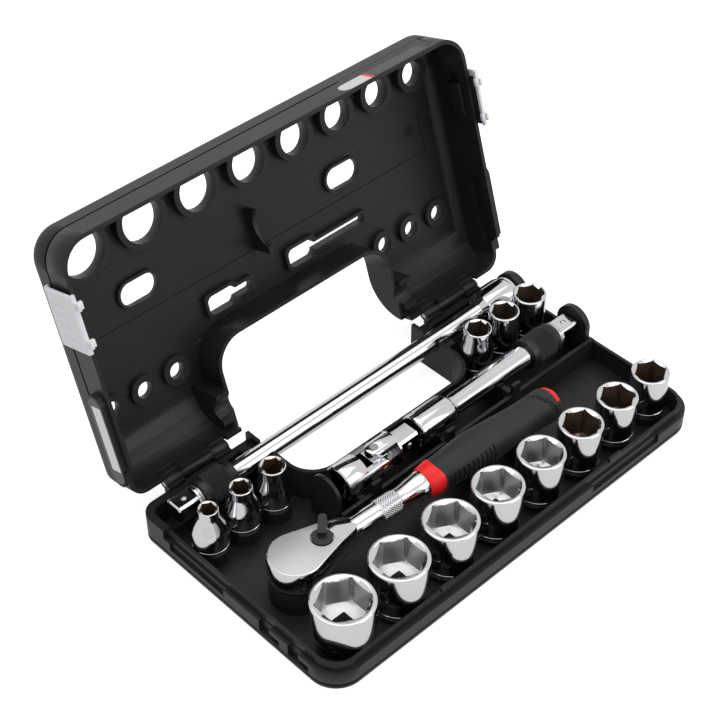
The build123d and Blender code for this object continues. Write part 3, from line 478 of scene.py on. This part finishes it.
CARRIER_PLATE = ((117.35, 118.5), (LATCH_Y - 11.0, LATCH_Y + 13.2), (7.8, 25.4))
CARRIER_NECK = ((114.5, 117.6), (-35.0, -23.0), (17.0, 22.0))
CARRIER_FOOT = ((113.3, 114.7), (-37.2, -20.8), (14.8, 24.2))
CARRIER_EDGE = 0.25
PRONG_AWAY = 9.0
PRONG_HALF = 1.8
PRONG_X = (117.4, 118.7)
PRONG_Z = (3.4, 9.0)
HOOK_X = (115.6, 117.7)
HOOK_Z = (4.6, 6.4)
PALE_LOOK = 0
BLACK_LOOK = 1
for side, latch in ((-1, "latch_left"), (1, "latch_right")):
    def on_latch(x, y, z):
        """A point of the right latch, or its mirror on the left one."""
        return on_open_lid(side * x, y, z)

    rows = []
    for n in range(LATCH_ROWS + 1):
        y = LATCH_Y + LATCH_HALF * (2 * n / LATCH_ROWS - 1)
        rows.append([on_latch(x, y, z) for x, z in latch_section(y)])
    cover = skin(latch + "_cover", rows, ends=(0, 0))
    wear(cover, latch_plastic)
    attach(cover, latch)
    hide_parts(latch)
    parts = [(block, BLACK_LOOK) for block in (CARRIER_PLATE, CARRIER_NECK, CARRIER_FOOT)]
    for prong in (LATCH_Y - PRONG_AWAY, LATCH_Y + PRONG_AWAY):
        prong_y = (prong - PRONG_HALF, prong + PRONG_HALF)
        parts.append(((PRONG_X, prong_y, PRONG_Z), PALE_LOOK))
        parts.append(((HOOK_X, prong_y, HOOK_Z), PALE_LOOK))
    carrier = bricks(latch + "_carrier", parts, CARRIER_EDGE, on_latch)
    wear(carrier, latch_plastic, case_plastic)
    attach(carrier, latch)


# Fourteen six-point sockets, forged, turned and chrome plated. Each has a rounded mouth with a lead-in
# to the hexagon, a turned line round the drive end, and a broached square that stands on a peg.
chrome, tone = finish("chrome_steel", {"Metallic": 1.0})
haze = tone.speckle(60, 5.0)
fine = tone.speckle(1400, 2.0)
feed(chrome, {
    "Base Color": tone.between(haze, (0.55, 0.555, 0.565), (0.62, 0.625, 0.635)),
    "Roughness": 0.06 + 0.08 * haze,
    "Normal": tone.raised(fine, 0.000004, 0.2),
})
bare_bore, tone = finish("bare_bore", {"Metallic": 1.0})
streak = tone.speckle(700, 4.0)
feed(bare_bore, {
    "Base Color": tone.between(streak, (0.50, 0.50, 0.51), (0.64, 0.64, 0.65)),
    "Roughness": 0.30 + 0.16 * streak,
})
# The bores of the sockets up to size 14 are a darker brown metal, and those of the larger ones are grey.
brown_bore, tone = finish("brown_bore", {"Metallic": 0.85})
streak = tone.speckle(600, 4.0)
feed(brown_bore, {
    "Base Color": tone.between(streak, (0.17, 0.125, 0.10), (0.30, 0.225, 0.18)),
    "Roughness": 0.24 + 0.18 * streak,
})
PLATED = 0
BARE = 1
BROWN = 2
SOCKET_AROUND = 144
BROWN_UP_TO = 14
NUT_GROWTH = 1.4
NUT_SKIN = 0.4
NUT_SPREAD = 1.05
HEX_PLAY = 0.05
HEX_SPREAD = 1.095
HEX_DEPTH = 15.1
HEX_CORNER = 0.98
LEAD_IN = 0.3
LEAST_FACE = 0.05
LEAST_DRIVE = 8.3
DRIVE_SHARE = 0.85
FOOT_SHARE = 0.965
LINE_DEPTH = 0.12
RELIEF = math.radians(4.0)
RELIEF_DEPTH = 0.12
MOST_RIM = 0.9
RIM_SHARE = 0.45
MOUTH_STEPS = 8
DRIVE_HOLE_HALF = 4.875
HOLE_CORNER = 1.38


def ring_of(around, reach, put):
    """Points round an axis; reach gives the radius at an angle, and put sets a flat point in place."""
    ring = []
    for n in range(around):
        angle = 2 * math.pi * n / around
        radius = reach(angle)
        ring.append(put(radius * math.cos(angle), radius * math.sin(angle)))
    return ring


def many_sided(flat, sides, limit):
    """The radius of a regular polygon at an angle, with its corners cut round at a limit."""
    def reach(angle):
        part = 2 * math.pi / sides
        from_flat = (angle + part / 2) % part - part / 2
        return min(flat / math.cos(from_flat), limit)
    return reach


def plain(radius):
    """The same radius at every angle."""
    return lambda angle: radius


drive_hole = many_sided(DRIVE_HOLE_HALF, 4, DRIVE_HOLE_HALF * HOLE_CORNER)


def socket_look(node, size):
    """A socket's skin: up its outside, over the mouth, down the hexagon and out through the square."""
    low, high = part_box(node)
    x = (low[0] + high[0]) / 2 / MILLIMETRE
    y = (low[1] + high[1]) / 2 / MILLIMETRE
    seat = low[2] / MILLIMETRE
    height = (high[2] - low[2]) / MILLIMETRE
    nut = (NUT_GROWTH * size + NUT_SKIN) / 2 * NUT_SPREAD
    drive = max(LEAST_DRIVE, DRIVE_SHARE * nut)
    flat = (size / 2 + HEX_PLAY) * HEX_SPREAD
    corner = flat / math.cos(math.pi / 6)
    rim = min(MOST_RIM, (nut - corner) * RIM_SHARE)

    def level(up, reach):
        return ring_of(SOCKET_AROUND, reach, lambda u, v: (x + u, y + v, seat + up))

    if nut < drive:
        foot = drive
        straight = 9.5
        taper = 10.0
        run = height - 14.5
        bend = 0.25
        steps = 16
    else:
        foot = nut * FOOT_SHARE
        straight = 8.0
        taper = 8.0
        run = 5.0
        bend = 1.0
        steps = 8
    outside = [(foot - 0.5, 0.0), (foot - 0.1, 0.15), (foot, 0.5), (foot, 3.0)]
    outside += [(foot - LINE_DEPTH, 3.1), (foot - LINE_DEPTH, 3.4), (foot, 3.5), (foot, straight)]
    for n in range(1, steps + 1):
        share = n / steps
        ease = (1 - bend) * share + bend * (1 - math.cos(math.pi * share)) / 2
        outside.append((foot + (nut - foot) * ease, taper + run * share))
    for n in range(MOUTH_STEPS + 1):
        angle = n / MOUTH_STEPS * math.pi / 2
        outside.append((nut - rim + rim * math.cos(angle), height - rim + rim * math.sin(angle)))
    rings = [level(up, plain(radius)) for radius, up in outside]
    bands = [PLATED] * (len(rings) - 1)
    bore = BROWN if size <= BROWN_UP_TO else BARE
    sides = many_sided(flat, 6, corner * HEX_CORNER)

    def hexagon(angle):
        """The broached hexagon, with a relief groove up each corner."""
        from_corner = abs(angle % (math.pi / 3) - math.pi / 6)
        return corner + RELIEF_DEPTH if from_corner < RELIEF else sides(angle)

    lip = min(corner + LEAD_IN, nut - rim - LEAST_FACE)
    deep = (lip - flat) * 0.5
    for share in (0.0, 0.06, 0.25, 0.5, 0.75, 1.0):
        cone = lip - share * (lip - flat)
        rings.append(level(height - share * deep, lambda angle: max(cone, hexagon(angle))))
        bands.append(PLATED)
    for depth in (deep + 0.3, HEX_DEPTH - 1.0, HEX_DEPTH - 0.3):
        rings.append(level(height - depth, hexagon))
        bands.append(bore)
    step = 0.3
    if size > BROWN_UP_TO:
        step = 1.2
        for share, depth in ((0.93, HEX_DEPTH), (0.86, HEX_DEPTH + 0.5)):
            rings.append(level(height - depth, plain(flat * share)))
            bands.append(bore)
    for up in (height - HEX_DEPTH - step, 0.5, 0.0):
        rings.append(level(up, drive_hole))
        bands.append(bore)
    bands.append(PLATED)
    look = skin(node + "_look", rings, bands, closed=True)
    wear(look, chrome, bare_bore, brown_bore)
    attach(look, node)
    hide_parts(node)


for size in range(6, 20):
    socket_look(f"socket_{size:02d}", size)


# The ratchet: a forged steel head and shank, chrome plated, with the head's face blasted to satin.
# Inside are the gear, pawl and cover; a rolled band of diamond knurl gives grip at the neck.
RATCHET = (-91.2, -12.2, 21.5)
RATCHET_TURN = math.radians(-3.3)


def in_ratchet(x, y, z):
    """A point in the ratchet's own frame, in millimetres, set into the case."""
    turn_cos = math.cos(RATCHET_TURN)
    turn_sin = math.sin(RATCHET_TURN)
    return (
        RATCHET[0] + x * turn_cos - y * turn_sin,
        RATCHET[1] + x * turn_sin + y * turn_cos,
        RATCHET[2] + z)


satin_face, tone = finish("satin_face", {"Metallic": 0.55})
haze = tone.speckle(45, 5.0)
blast = tone.speckle(3200, 2.0)
feed(satin_face, {
    "Base Color": tone.between(haze, (0.42, 0.425, 0.43), (0.48, 0.485, 0.49)),
    "Roughness": 0.42 + 0.10 * haze,
    "Normal": tone.raised(blast, 0.00002, 0.25),
})
HEAD_RADIUS = 13.0
HEAD_STEPS = 84
TAIL_RADIUS = 5.6
TAIL_STEPS = 24
TAIL_X = 27.0
HEAD_TOP = 6.5
FACET_X = 19.3
FACET_SLOPE = 0.16
DIAL_X = 14.2
DIAL_SEAT = 4.9
SEAT_EDGE = 0.25
SEAT_DEPTH = 1.6
SEAT_AROUND = 48
HEAD_SMOOTH = 28.0
SATIN = 1
LEAN = math.asin((HEAD_RADIUS - TAIL_RADIUS) / TAIL_X)
BARREL = ((-6.4, 1.9), (-6.25, 1.35), (-5.85, 0.92), (-5.3, 0.66), (-4.6, 0.48), (-2.6, 0.14), (-0.5, 0.0))
BARREL += ((1.5, 0.06), (3.2, 0.20), (4.6, 0.40), (5.75, 0.62), (6.12, 0.72), (6.37, 0.91), (HEAD_TOP, 1.18))


def teardrop(inset):
    """The head's outline drawn in by an inset: from the facet's edge round the head, then the tail."""
    def arc(middle, radius, start, end, steps):
        turns = [start + (end - start) * n / steps for n in range(steps + 1)]
        return [(middle + radius * math.cos(turn), radius * math.sin(turn)) for turn in turns]
    head = arc(0.0, HEAD_RADIUS - inset, math.pi / 2 - LEAN, 1.5 * math.pi + LEAN, HEAD_STEPS)
    tail = arc(TAIL_X, TAIL_RADIUS - inset, LEAN - math.pi / 2, math.pi / 2 - LEAN, TAIL_STEPS)
    share = (FACET_X - head[0][0]) / (tail[-1][0] - head[0][0])
    edge = head[0][1] + share * (tail[-1][1] - head[0][1])
    return [(FACET_X, edge)] + head + [(FACET_X, -edge)] + tail


def head_height(x, z):
    """A level of the head, let down along the facet towards the neck."""
    return z - FACET_SLOPE * max(0.0, x - FACET_X) if z > 0 else z


def strips(body, rings):
    """Faces between each ring of corners and the next."""
    count = len(rings[0])
    for first, second in zip(rings, rings[1:]):
        for n in range(count):
            after = (n + 1) % count
            body.faces.new((first[n], first[after], second[after], second[n]))


head = bmesh.new()
sides = []
for z, inset in BARREL:
    sides.append([head.verts.new(in_ratchet(x, y, head_height(x, z))) for x, y in teardrop(inset)])
strips(head, sides)
head.faces.new(sides[0][::-1])
round_top = sides[-1][:HEAD_STEPS + 3]
head.faces.new(sides[-1][HEAD_STEPS + 2:] + sides[-1][:1])
seat = []
for radius, drop in ((DIAL_SEAT + SEAT_EDGE, 0.0), (DIAL_SEAT, SEAT_EDGE), (DIAL_SEAT, SEAT_DEPTH)):
    seat.append(ring_of(
        SEAT_AROUND, plain(radius),
        lambda u, v: head.verts.new(in_ratchet(DIAL_X + u, v, HEAD_TOP - drop))))
strips(head, seat)
head.faces.new(seat[-1])
rims = []
for ring in (round_top, seat[0]):
    rims += [head.edges.get((first, second)) for first, second in zip(ring, ring[1:] + ring[:1])]
top = bmesh.ops.triangle_fill(head, use_beauty=True, edges=rims)
for face in top["geom"]:
    if isinstance(face, bmesh.types.BMFace):
        face.material_index = SATIN
head_look = settle("ratchet_head", head, HEAD_SMOOTH)
wear(head_look, chrome, satin_face)
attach(head_look, "ratchet")
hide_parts("ratchet_body")
for inner in ("ratchet_cover", "drive_ball", "pawl"):
    wear(nodes[inner], pin_steel)
wear(nodes["drive_gear"], chrome)


def turned(name, put, stations, around, sleeve):
    """A skin over rings about the piece's own x axis: an open sleeve, or a bar with flat ends."""
    rings = [ring_of(around, reach, lambda u, v: put(x, u, v)) for x, reach in stations]
    return skin(name, rings, closed=sleeve, ends=() if sleeve else (0, 0))


def rounds(start, profile):
    """Stations of plain round section, from places along the axis and radii."""
    return [(start + along, plain(radius)) for along, radius in profile]


def knurl(start, end, low, high, count, lead, steps):
    """Stations over crossed diamond teeth rolled in between two radii."""
    def station(x, fade):
        def reach(angle):
            turns = angle / (2 * math.pi) * count
            first = abs((turns + x / lead) % 1 * 2 - 1)
            second = abs((turns - x / lead) % 1 * 2 - 1)
            return low + (high - low) * fade * min(1.0, 1.5 * min(first, second))
        return x, reach
    stations = []
    for n in range(steps + 1):
        fade = min(1.0, 12.0 * min(n, steps - n) / steps)
        stations.append(station(start + (end - start) * n / steps, fade))
    return stations


FLARE_START = 58.0
FLARE_RUN = 12.6
FLARE_STEPS = 12
SHANK_RADIUS = 5.02
FLARE_RISE = 1.78
NECK_AROUND = 192
neck = rounds(0.0, ((26.0, 3.0), (26.0, 4.5), (32.0, 4.85), (44.4, 5.0), (44.7, 4.8)))
neck += knurl(44.9, 56.1, low=4.95, high=5.45, count=24, lead=1.36, steps=66)
neck += rounds(0.0, ((56.3, 4.8), (56.6, 5.0), (FLARE_START, SHANK_RADIUS)))
for n in range(1, FLARE_STEPS + 1):
    share = n / FLARE_STEPS
    ease = share * share * (3 - 2 * share)
    neck.append((FLARE_START + FLARE_RUN * share, plain(SHANK_RADIUS + FLARE_RISE * ease)))
neck += rounds(0.0, ((71.2, 6.6), (71.2, 3.0)))
neck_look = turned("ratchet_neck", in_ratchet, neck, NECK_AROUND, sleeve=True)
wear(neck_look, chrome)
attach(neck_look, "ratchet")


# The reversing lever: glass-filled black nylon, a round dial let into the head with a finger paddle.
# It is moulded in one, and turns in its seat to throw the pawl over.
LEVER_EDGE = 0.0006
black_nylon, tone = finish("black_nylon", {"Specular IOR Level": 0.45})
fleck = tone.speckle(1900, 3.0)
feed(black_nylon, {
    "Base Color": tone.between(fleck, (0.008, 0.008, 0.008), (0.016, 0.016, 0.017)),
    "Roughness": 0.30 + 0.16 * fleck,
    "Normal": tone.raised(fleck, 0.00005, 0.3),
})
wear(nodes["reversing_lever"], black_nylon)
soften(nodes["reversing_lever"], LEVER_EDGE)


# The handle: a black rubber sleeve moulded over the tang, with fields of short slots at both ends,
# a red collar with a waved edge in front and a red end cap behind, its sides and end painted black as shade.
GRIP_START = 77.5
GRIP_END = 149.5
GRIP_SWELL = ((0.0, 7.9), (0.34, 9.4), (0.76, 8.2), (0.97, 8.55), (1.0, 7.9))
GRIP_SIDES = 0.035
GRIP_STEPS = 288
GRIP_AROUND = 120
SLOT_SHARE = 0.45
SIDE_FIELD = (0.05, 0.42)
SIDE_PITCH = 2.6
SIDE_DEPTH = 0.7
SIDE_REACH = 0.45
SIDE_SPREAD = 0.8
SIDE_FADE = 0.08
END_FIELD = (0.86, 0.985)
END_PITCH = 1.3
END_DEPTH = 0.6
END_HALF = 0.3
END_TURN = (50, 125)
END_FADE = 0.06
grip_rubber, tone = finish("grip_rubber", {"Specular IOR Level": 0.35, "Sheen Weight": 0.08})
fleck = tone.speckle(2100, 3.0)
dust = tone.speckle(90, 5.0)
feed(grip_rubber, {
    "Base Color": tone.between(dust, (0.0080, 0.0080, 0.0083), (0.0135, 0.0135, 0.0141)),
    "Roughness": 0.5 + 0.2 * dust,
    "Normal": tone.raised(fleck, 0.00006, 0.45),
})


def grip_radius(x, angle):
    """The sleeve's swell and waist on a softly three-sided section, less the slots cut into it."""
    share = (x - GRIP_START) / (GRIP_END - GRIP_START)
    for (first, before), (last, after) in zip(GRIP_SWELL, GRIP_SWELL[1:]):
        if first <= share <= last:
            ease = (1 - math.cos(math.pi * (share - first) / (last - first))) / 2
            swell = before + (after - before) * ease
    radius = swell * (1 + GRIP_SIDES * math.sin(3 * angle) * math.sin(math.pi * share))
    first, last = SIDE_FIELD
    if first < share < last:
        side = math.acos(min(1.0, abs(math.cos(angle))))
        reach = SIDE_REACH + SIDE_SPREAD * (share - first)
        if side < reach and x / SIDE_PITCH % 1 < SLOT_SHARE:
            radius -= SIDE_DEPTH * min(1.0, (reach - side) / SIDE_FADE)
    first, last = END_FIELD
    if first < share < last:
        middle = math.radians(END_TURN[0] + END_TURN[1] * (share - first) / (last - first))
        off = abs((angle - middle + math.pi / 2) % math.pi - math.pi / 2)
        if off < END_HALF and x / END_PITCH % 1 < SLOT_SHARE:
            radius -= END_DEPTH * min(1.0, (END_HALF - off) / END_FADE)
    return radius


def grip_station(n):
    """A place along the sleeve, and its radius all round."""
    x = GRIP_START + (GRIP_END - GRIP_START) * n / GRIP_STEPS
    return x, lambda angle: grip_radius(x, angle)


grip_stations = [grip_station(n) for n in range(GRIP_STEPS + 1)]
grip = turned("grip_look", in_ratchet, grip_stations, GRIP_AROUND, sleeve=False)
wear(grip, grip_rubber)
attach(grip, "ratchet")
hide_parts("grip_sleeve")

red_plastic, tone = finish("red_plastic", {"Specular IOR Level": 0.28})
fleck = tone.speckle(1200, 3.0)
feed(red_plastic, {
    "Base Color": tone.between(fleck, (0.78, 0.012, 0.014), (0.88, 0.020, 0.022)),
    "Roughness": 0.30 + 0.16 * fleck,
    "Normal": tone.raised(fleck, 0.00003, 0.3),
})
WAVE = 0.9
WAVE_START = 74.0
WAVE_RUN = 4.3
BAND = ((71.0, 6.4), (71.0, 6.9), (71.4, 7.1), (73.0, 7.5), (75.0, 7.95), (76.6, 8.25))
BAND += ((77.6, 8.35), (78.2, 8.3), (78.3, 7.8))


def in_band(x, y, z):
    """A point of the red collar, whose rear edge runs in three waves round the handle."""
    wave = WAVE * math.sin(3 * math.atan2(z, y)) * max(0.0, (x - WAVE_START) / WAVE_RUN)
    return in_ratchet(x + wave, y, z)


band = turned("band_look", in_band, rounds(0.0, BAND), GRIP_AROUND, sleeve=False)
wear(band, red_plastic)
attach(band, "ratchet")
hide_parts("collar_band")

CAP = ((149.1, 7.95), (149.9, 7.95), (150.9, 7.65), (151.8, 6.8), (152.3, 5.4), (152.5, 2.8))
LENS_HALF = 0.70
LENS_STRIPS = 4
PAINTED_SHADE_LOOK = 1
cap = turned("cap_look", in_ratchet, rounds(0.0, CAP), GRIP_AROUND, sleeve=False)
# Painted shade: the end cap is red all round, but outside a red lens at its top and bottom its sides and
# domed end get the black rubber finish, painted shade where the cap lies in shadow.
for number, face in enumerate(cap.data.polygons):
    angle = 2 * math.pi * (number % GRIP_AROUND + 0.5) / GRIP_AROUND
    if abs(math.cos(angle)) > LENS_HALF or number >= GRIP_AROUND * LENS_STRIPS:
        face.material_index = PAINTED_SHADE_LOOK
wear(cap, red_plastic, grip_rubber)
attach(cap, "ratchet")
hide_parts("end_cap")


# The universal joint: two forged forks on a cross with pressed pins, all chrome plated.
# One fork ends in a square hole and the other in a drive square with a spring-loaded ball.
FORGED_EDGE = 0.0004
for yoke in ("joint_socket_yoke", "joint_drive_yoke", "joint_cross"):
    wear(nodes[yoke], chrome)
    soften(nodes[yoke], FORGED_EDGE)
for pin in ("joint_long_pin", "joint_short_pins", "joint_ball"):
    wear(nodes[pin], pin_steel)


# The two extensions: chrome-plated bars, each with a female square at one end, a male square with a
# ball at the other, and a sliding locking collar in black oxide with a diamond knurl.
black_oxide, tone = finish("black_oxide", {"Metallic": 0.55, "Base Color": (0.022, 0.022, 0.023, 1)})
streak = tone.speckle(1100, 4.0)
feed(black_oxide, {"Roughness": 0.34 + 0.16 * streak, "Normal": tone.raised(streak, 0.00003, 0.3)})
BAR_AROUND = 96
COLLAR_AROUND = 240
DRIVE_LONG = 11.0
HOLE_DEEP = 11.4
HOLE_MOUTH = 0.9
TIP_EDGE = 0.8
COLLAR_LONG = 19.0
COLLAR_SET = 14.0
COLLAR_PLAY = 0.1
FEMALE = ((0.0, 7.3), (0.15, 7.8), (0.6, 8.1), (1.2, 8.2), (2.6, 8.2), (2.8, 7.9), (3.4, 7.9), (3.6, 8.2))
FEMALE += ((19.6, 8.2), (20.6, 8.0))
SHOULDER = ((-1.2, 6.2), (-1.0, 6.5), (-0.2, 6.5), (0.0, 6.3))
COLLAR_BACK = ((0.0, 7.4), (0.2, 7.7), (0.5, 7.8), (2.5, 7.8), (2.8, 7.45), (3.0, 7.45), (3.1, 7.6))
COLLAR_FRONT = ((-3.1, 7.5), (-2.8, 7.5), (-2.6, 7.8), (-0.9, 7.8), (-0.3, 7.6), (0.0, 7.2))
drive_square = many_sided(4.725, 4, 6.05)
drive_tip = many_sided(4.2, 4, 5.2)
hole_mouth = many_sided(5.7, 4, 7.0)


def extension_look(name, put, length, shaft):
    """An extension's bar and the collar that slides on it, from the female end to the drive square."""
    shoulder = length - DRIVE_LONG
    stations = [(HOLE_DEEP, drive_hole), (HOLE_MOUTH, drive_hole), (0.0, hole_mouth)]
    stations += rounds(0.0, FEMALE)
    stations += rounds(0.0, ((22.0, (8.1 + shaft) / 2), (23.6, shaft + 0.15), (25.0, shaft)))
    stations += rounds(shoulder, ((-1.2, shaft), *SHOULDER))
    stations += [(shoulder, drive_square), (length - TIP_EDGE, drive_square), (length, drive_tip)]
    bar = turned(name + "_bar_look", put, stations, BAR_AROUND, sleeve=False)
    wear(bar, chrome)
    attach(bar, name + "_extension")
    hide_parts(name + "_bar")
    for small in ("_spring", "_ring", "_ball"):
        wear(nodes[name + small], pin_steel)
    front = length - COLLAR_SET
    back = front - COLLAR_LONG
    bore = shaft + COLLAR_PLAY
    stations = rounds(back, ((0.0, bore), *COLLAR_BACK))
    stations += knurl(back + 3.3, front - 3.2, low=7.6, high=8.1, count=40, lead=1.25, steps=84)
    stations += rounds(front, (*COLLAR_FRONT, (0.0, bore)))
    collar = turned(name + "_collar_look", put, stations, COLLAR_AROUND, sleeve=True)
    wear(collar, black_oxide)
    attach(collar, name + "_collar")
    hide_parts(name + "_collar")


extension_look("short", lambda x, y, z: (0.9 + x, 10.1 + y, 20.0 + z), length=108.0, shaft=5.6)
extension_look("long", lambda x, y, z: (108.4 - x, 49.8 - y, 17.0 + z), length=216.0, shaft=4.8)


# The studio: a white floor under a white sky and two large soft lamps, and the camera at the height
# and side of the photograph.
FLOOR_HALF = 6.0
FLOOR_DROP = 0.0003
FLOOR_CORNERS = ((-1, -1), (1, -1), (1, 1), (-1, 1))


def ray_kinds(tone):
    """Marks of the rays that see a surface: the camera's own, mirrored ones and those through glass."""
    camera_ray = tone.node("LightPath", {}, {}, out="Is Camera Ray")
    outputs = camera_ray.socket.node.outputs
    glossy_ray = Tone(tone.tree, outputs["Is Glossy Ray"])
    clear_ray = Tone(tone.tree, outputs["Is Transmission Ray"])
    return camera_ray, glossy_ray, clear_ray


floor_mesh = bpy.data.meshes.new("floor")
floor_points = [(x * FLOOR_HALF, y * FLOOR_HALF, 0.0) for x, y in FLOOR_CORNERS]
floor_mesh.from_pydata(floor_points, [], [(0, 1, 2, 3)])
floor = bpy.data.objects.new("floor", floor_mesh)
bpy.context.scene.collection.objects.link(floor)
floor.location.z = -FLOOR_DROP
floor_white = bpy.data.materials.new("floor_white")
floor_white.use_nodes = True
tree = floor_white.node_tree
tree.nodes.clear()
tone = Tone(tree)
camera_ray, glossy_ray, clear_ray = ray_kinds(tone)
shine = 0.78 * camera_ray + 0.38 * (glossy_ray + clear_ray)
glow = tone.node("Emission", {}, {"Color": (1, 1, 1, 1), "Strength": shine})
matt = tone.node("BsdfDiffuse", {}, {"Color": (0.6, 0.6, 0.6, 1)})
both = tone.node("AddShader", {}, {0: glow, 1: matt})
surface = tree.nodes.new("ShaderNodeOutputMaterial")
tree.links.new(both.socket, surface.inputs["Surface"])
floor_mesh.materials.append(floor_white)

world = bpy.data.worlds.new("studio")
bpy.context.scene.world = world
world.use_nodes = True
tree = world.node_tree
camera_ray, glossy_ray, clear_ray = ray_kinds(Tone(tree))
sky = 0.7 + 0.3 * (camera_ray + glossy_ray + clear_ray)
background = tree.nodes["Background"]
background.inputs["Color"].default_value = (1, 1, 1, 1)
tree.links.new(sky.socket, background.inputs["Strength"])


def soft_lamp(name, place, aim, size, power):
    """A large rectangular lamp aimed at a point, itself out of the picture."""
    lamp = bpy.data.lights.new(name, "AREA")
    lamp.shape = "RECTANGLE"
    lamp.size, lamp.size_y = size
    lamp.energy = power
    holder = bpy.data.objects.new(name, lamp)
    bpy.context.scene.collection.objects.link(holder)
    holder.location = place
    holder.rotation_euler = (Vector(aim) - Vector(place)).to_track_quat("-Z", "Y").to_euler()
    holder.visible_camera = False


soft_lamp("overhead", place=(0.1, 0.1, 1.3), aim=(0, 0, 0), size=(1.4, 1.1), power=7.0)
soft_lamp("front_fill", place=(0.5, -1.1, 0.7), aim=(0, 0, 0.06), size=(0.9, 0.7), power=5.0)

AZIMUTH = math.radians(-43.539)
ELEVATION = math.radians(42.720)
ROLL = math.radians(-0.227)
AIM = Vector((0.03069, 0.07658, 0.0))
AWAY = 0.84907
FILM_WIDTH = 36.0
FOCUS_PIXELS = 1721.74
FRAME_PIXELS = 725
towards = Vector((
    math.sin(AZIMUTH) * math.cos(ELEVATION),
    -math.cos(AZIMUTH) * math.cos(ELEVATION),
    math.sin(ELEVATION)))
lens = bpy.data.cameras.new("camera")
lens.sensor_width = FILM_WIDTH
lens.lens = FOCUS_PIXELS * FILM_WIDTH / FRAME_PIXELS
lens.clip_start = 0.05
lens.clip_end = 50.0
camera = bpy.data.objects.new("camera", lens)
bpy.context.scene.collection.objects.link(camera)
turn = Matrix.Rotation(AZIMUTH, 4, "Z") @ Matrix.Rotation(math.pi / 2 - ELEVATION, 4, "X")
turn = turn @ Matrix.Rotation(ROLL, 4, "Z")
camera.matrix_world = Matrix.Translation(AIM + towards * AWAY) @ turn
bpy.context.scene.camera = camera
bpy.context.scene.view_settings.view_transform = "Standard"
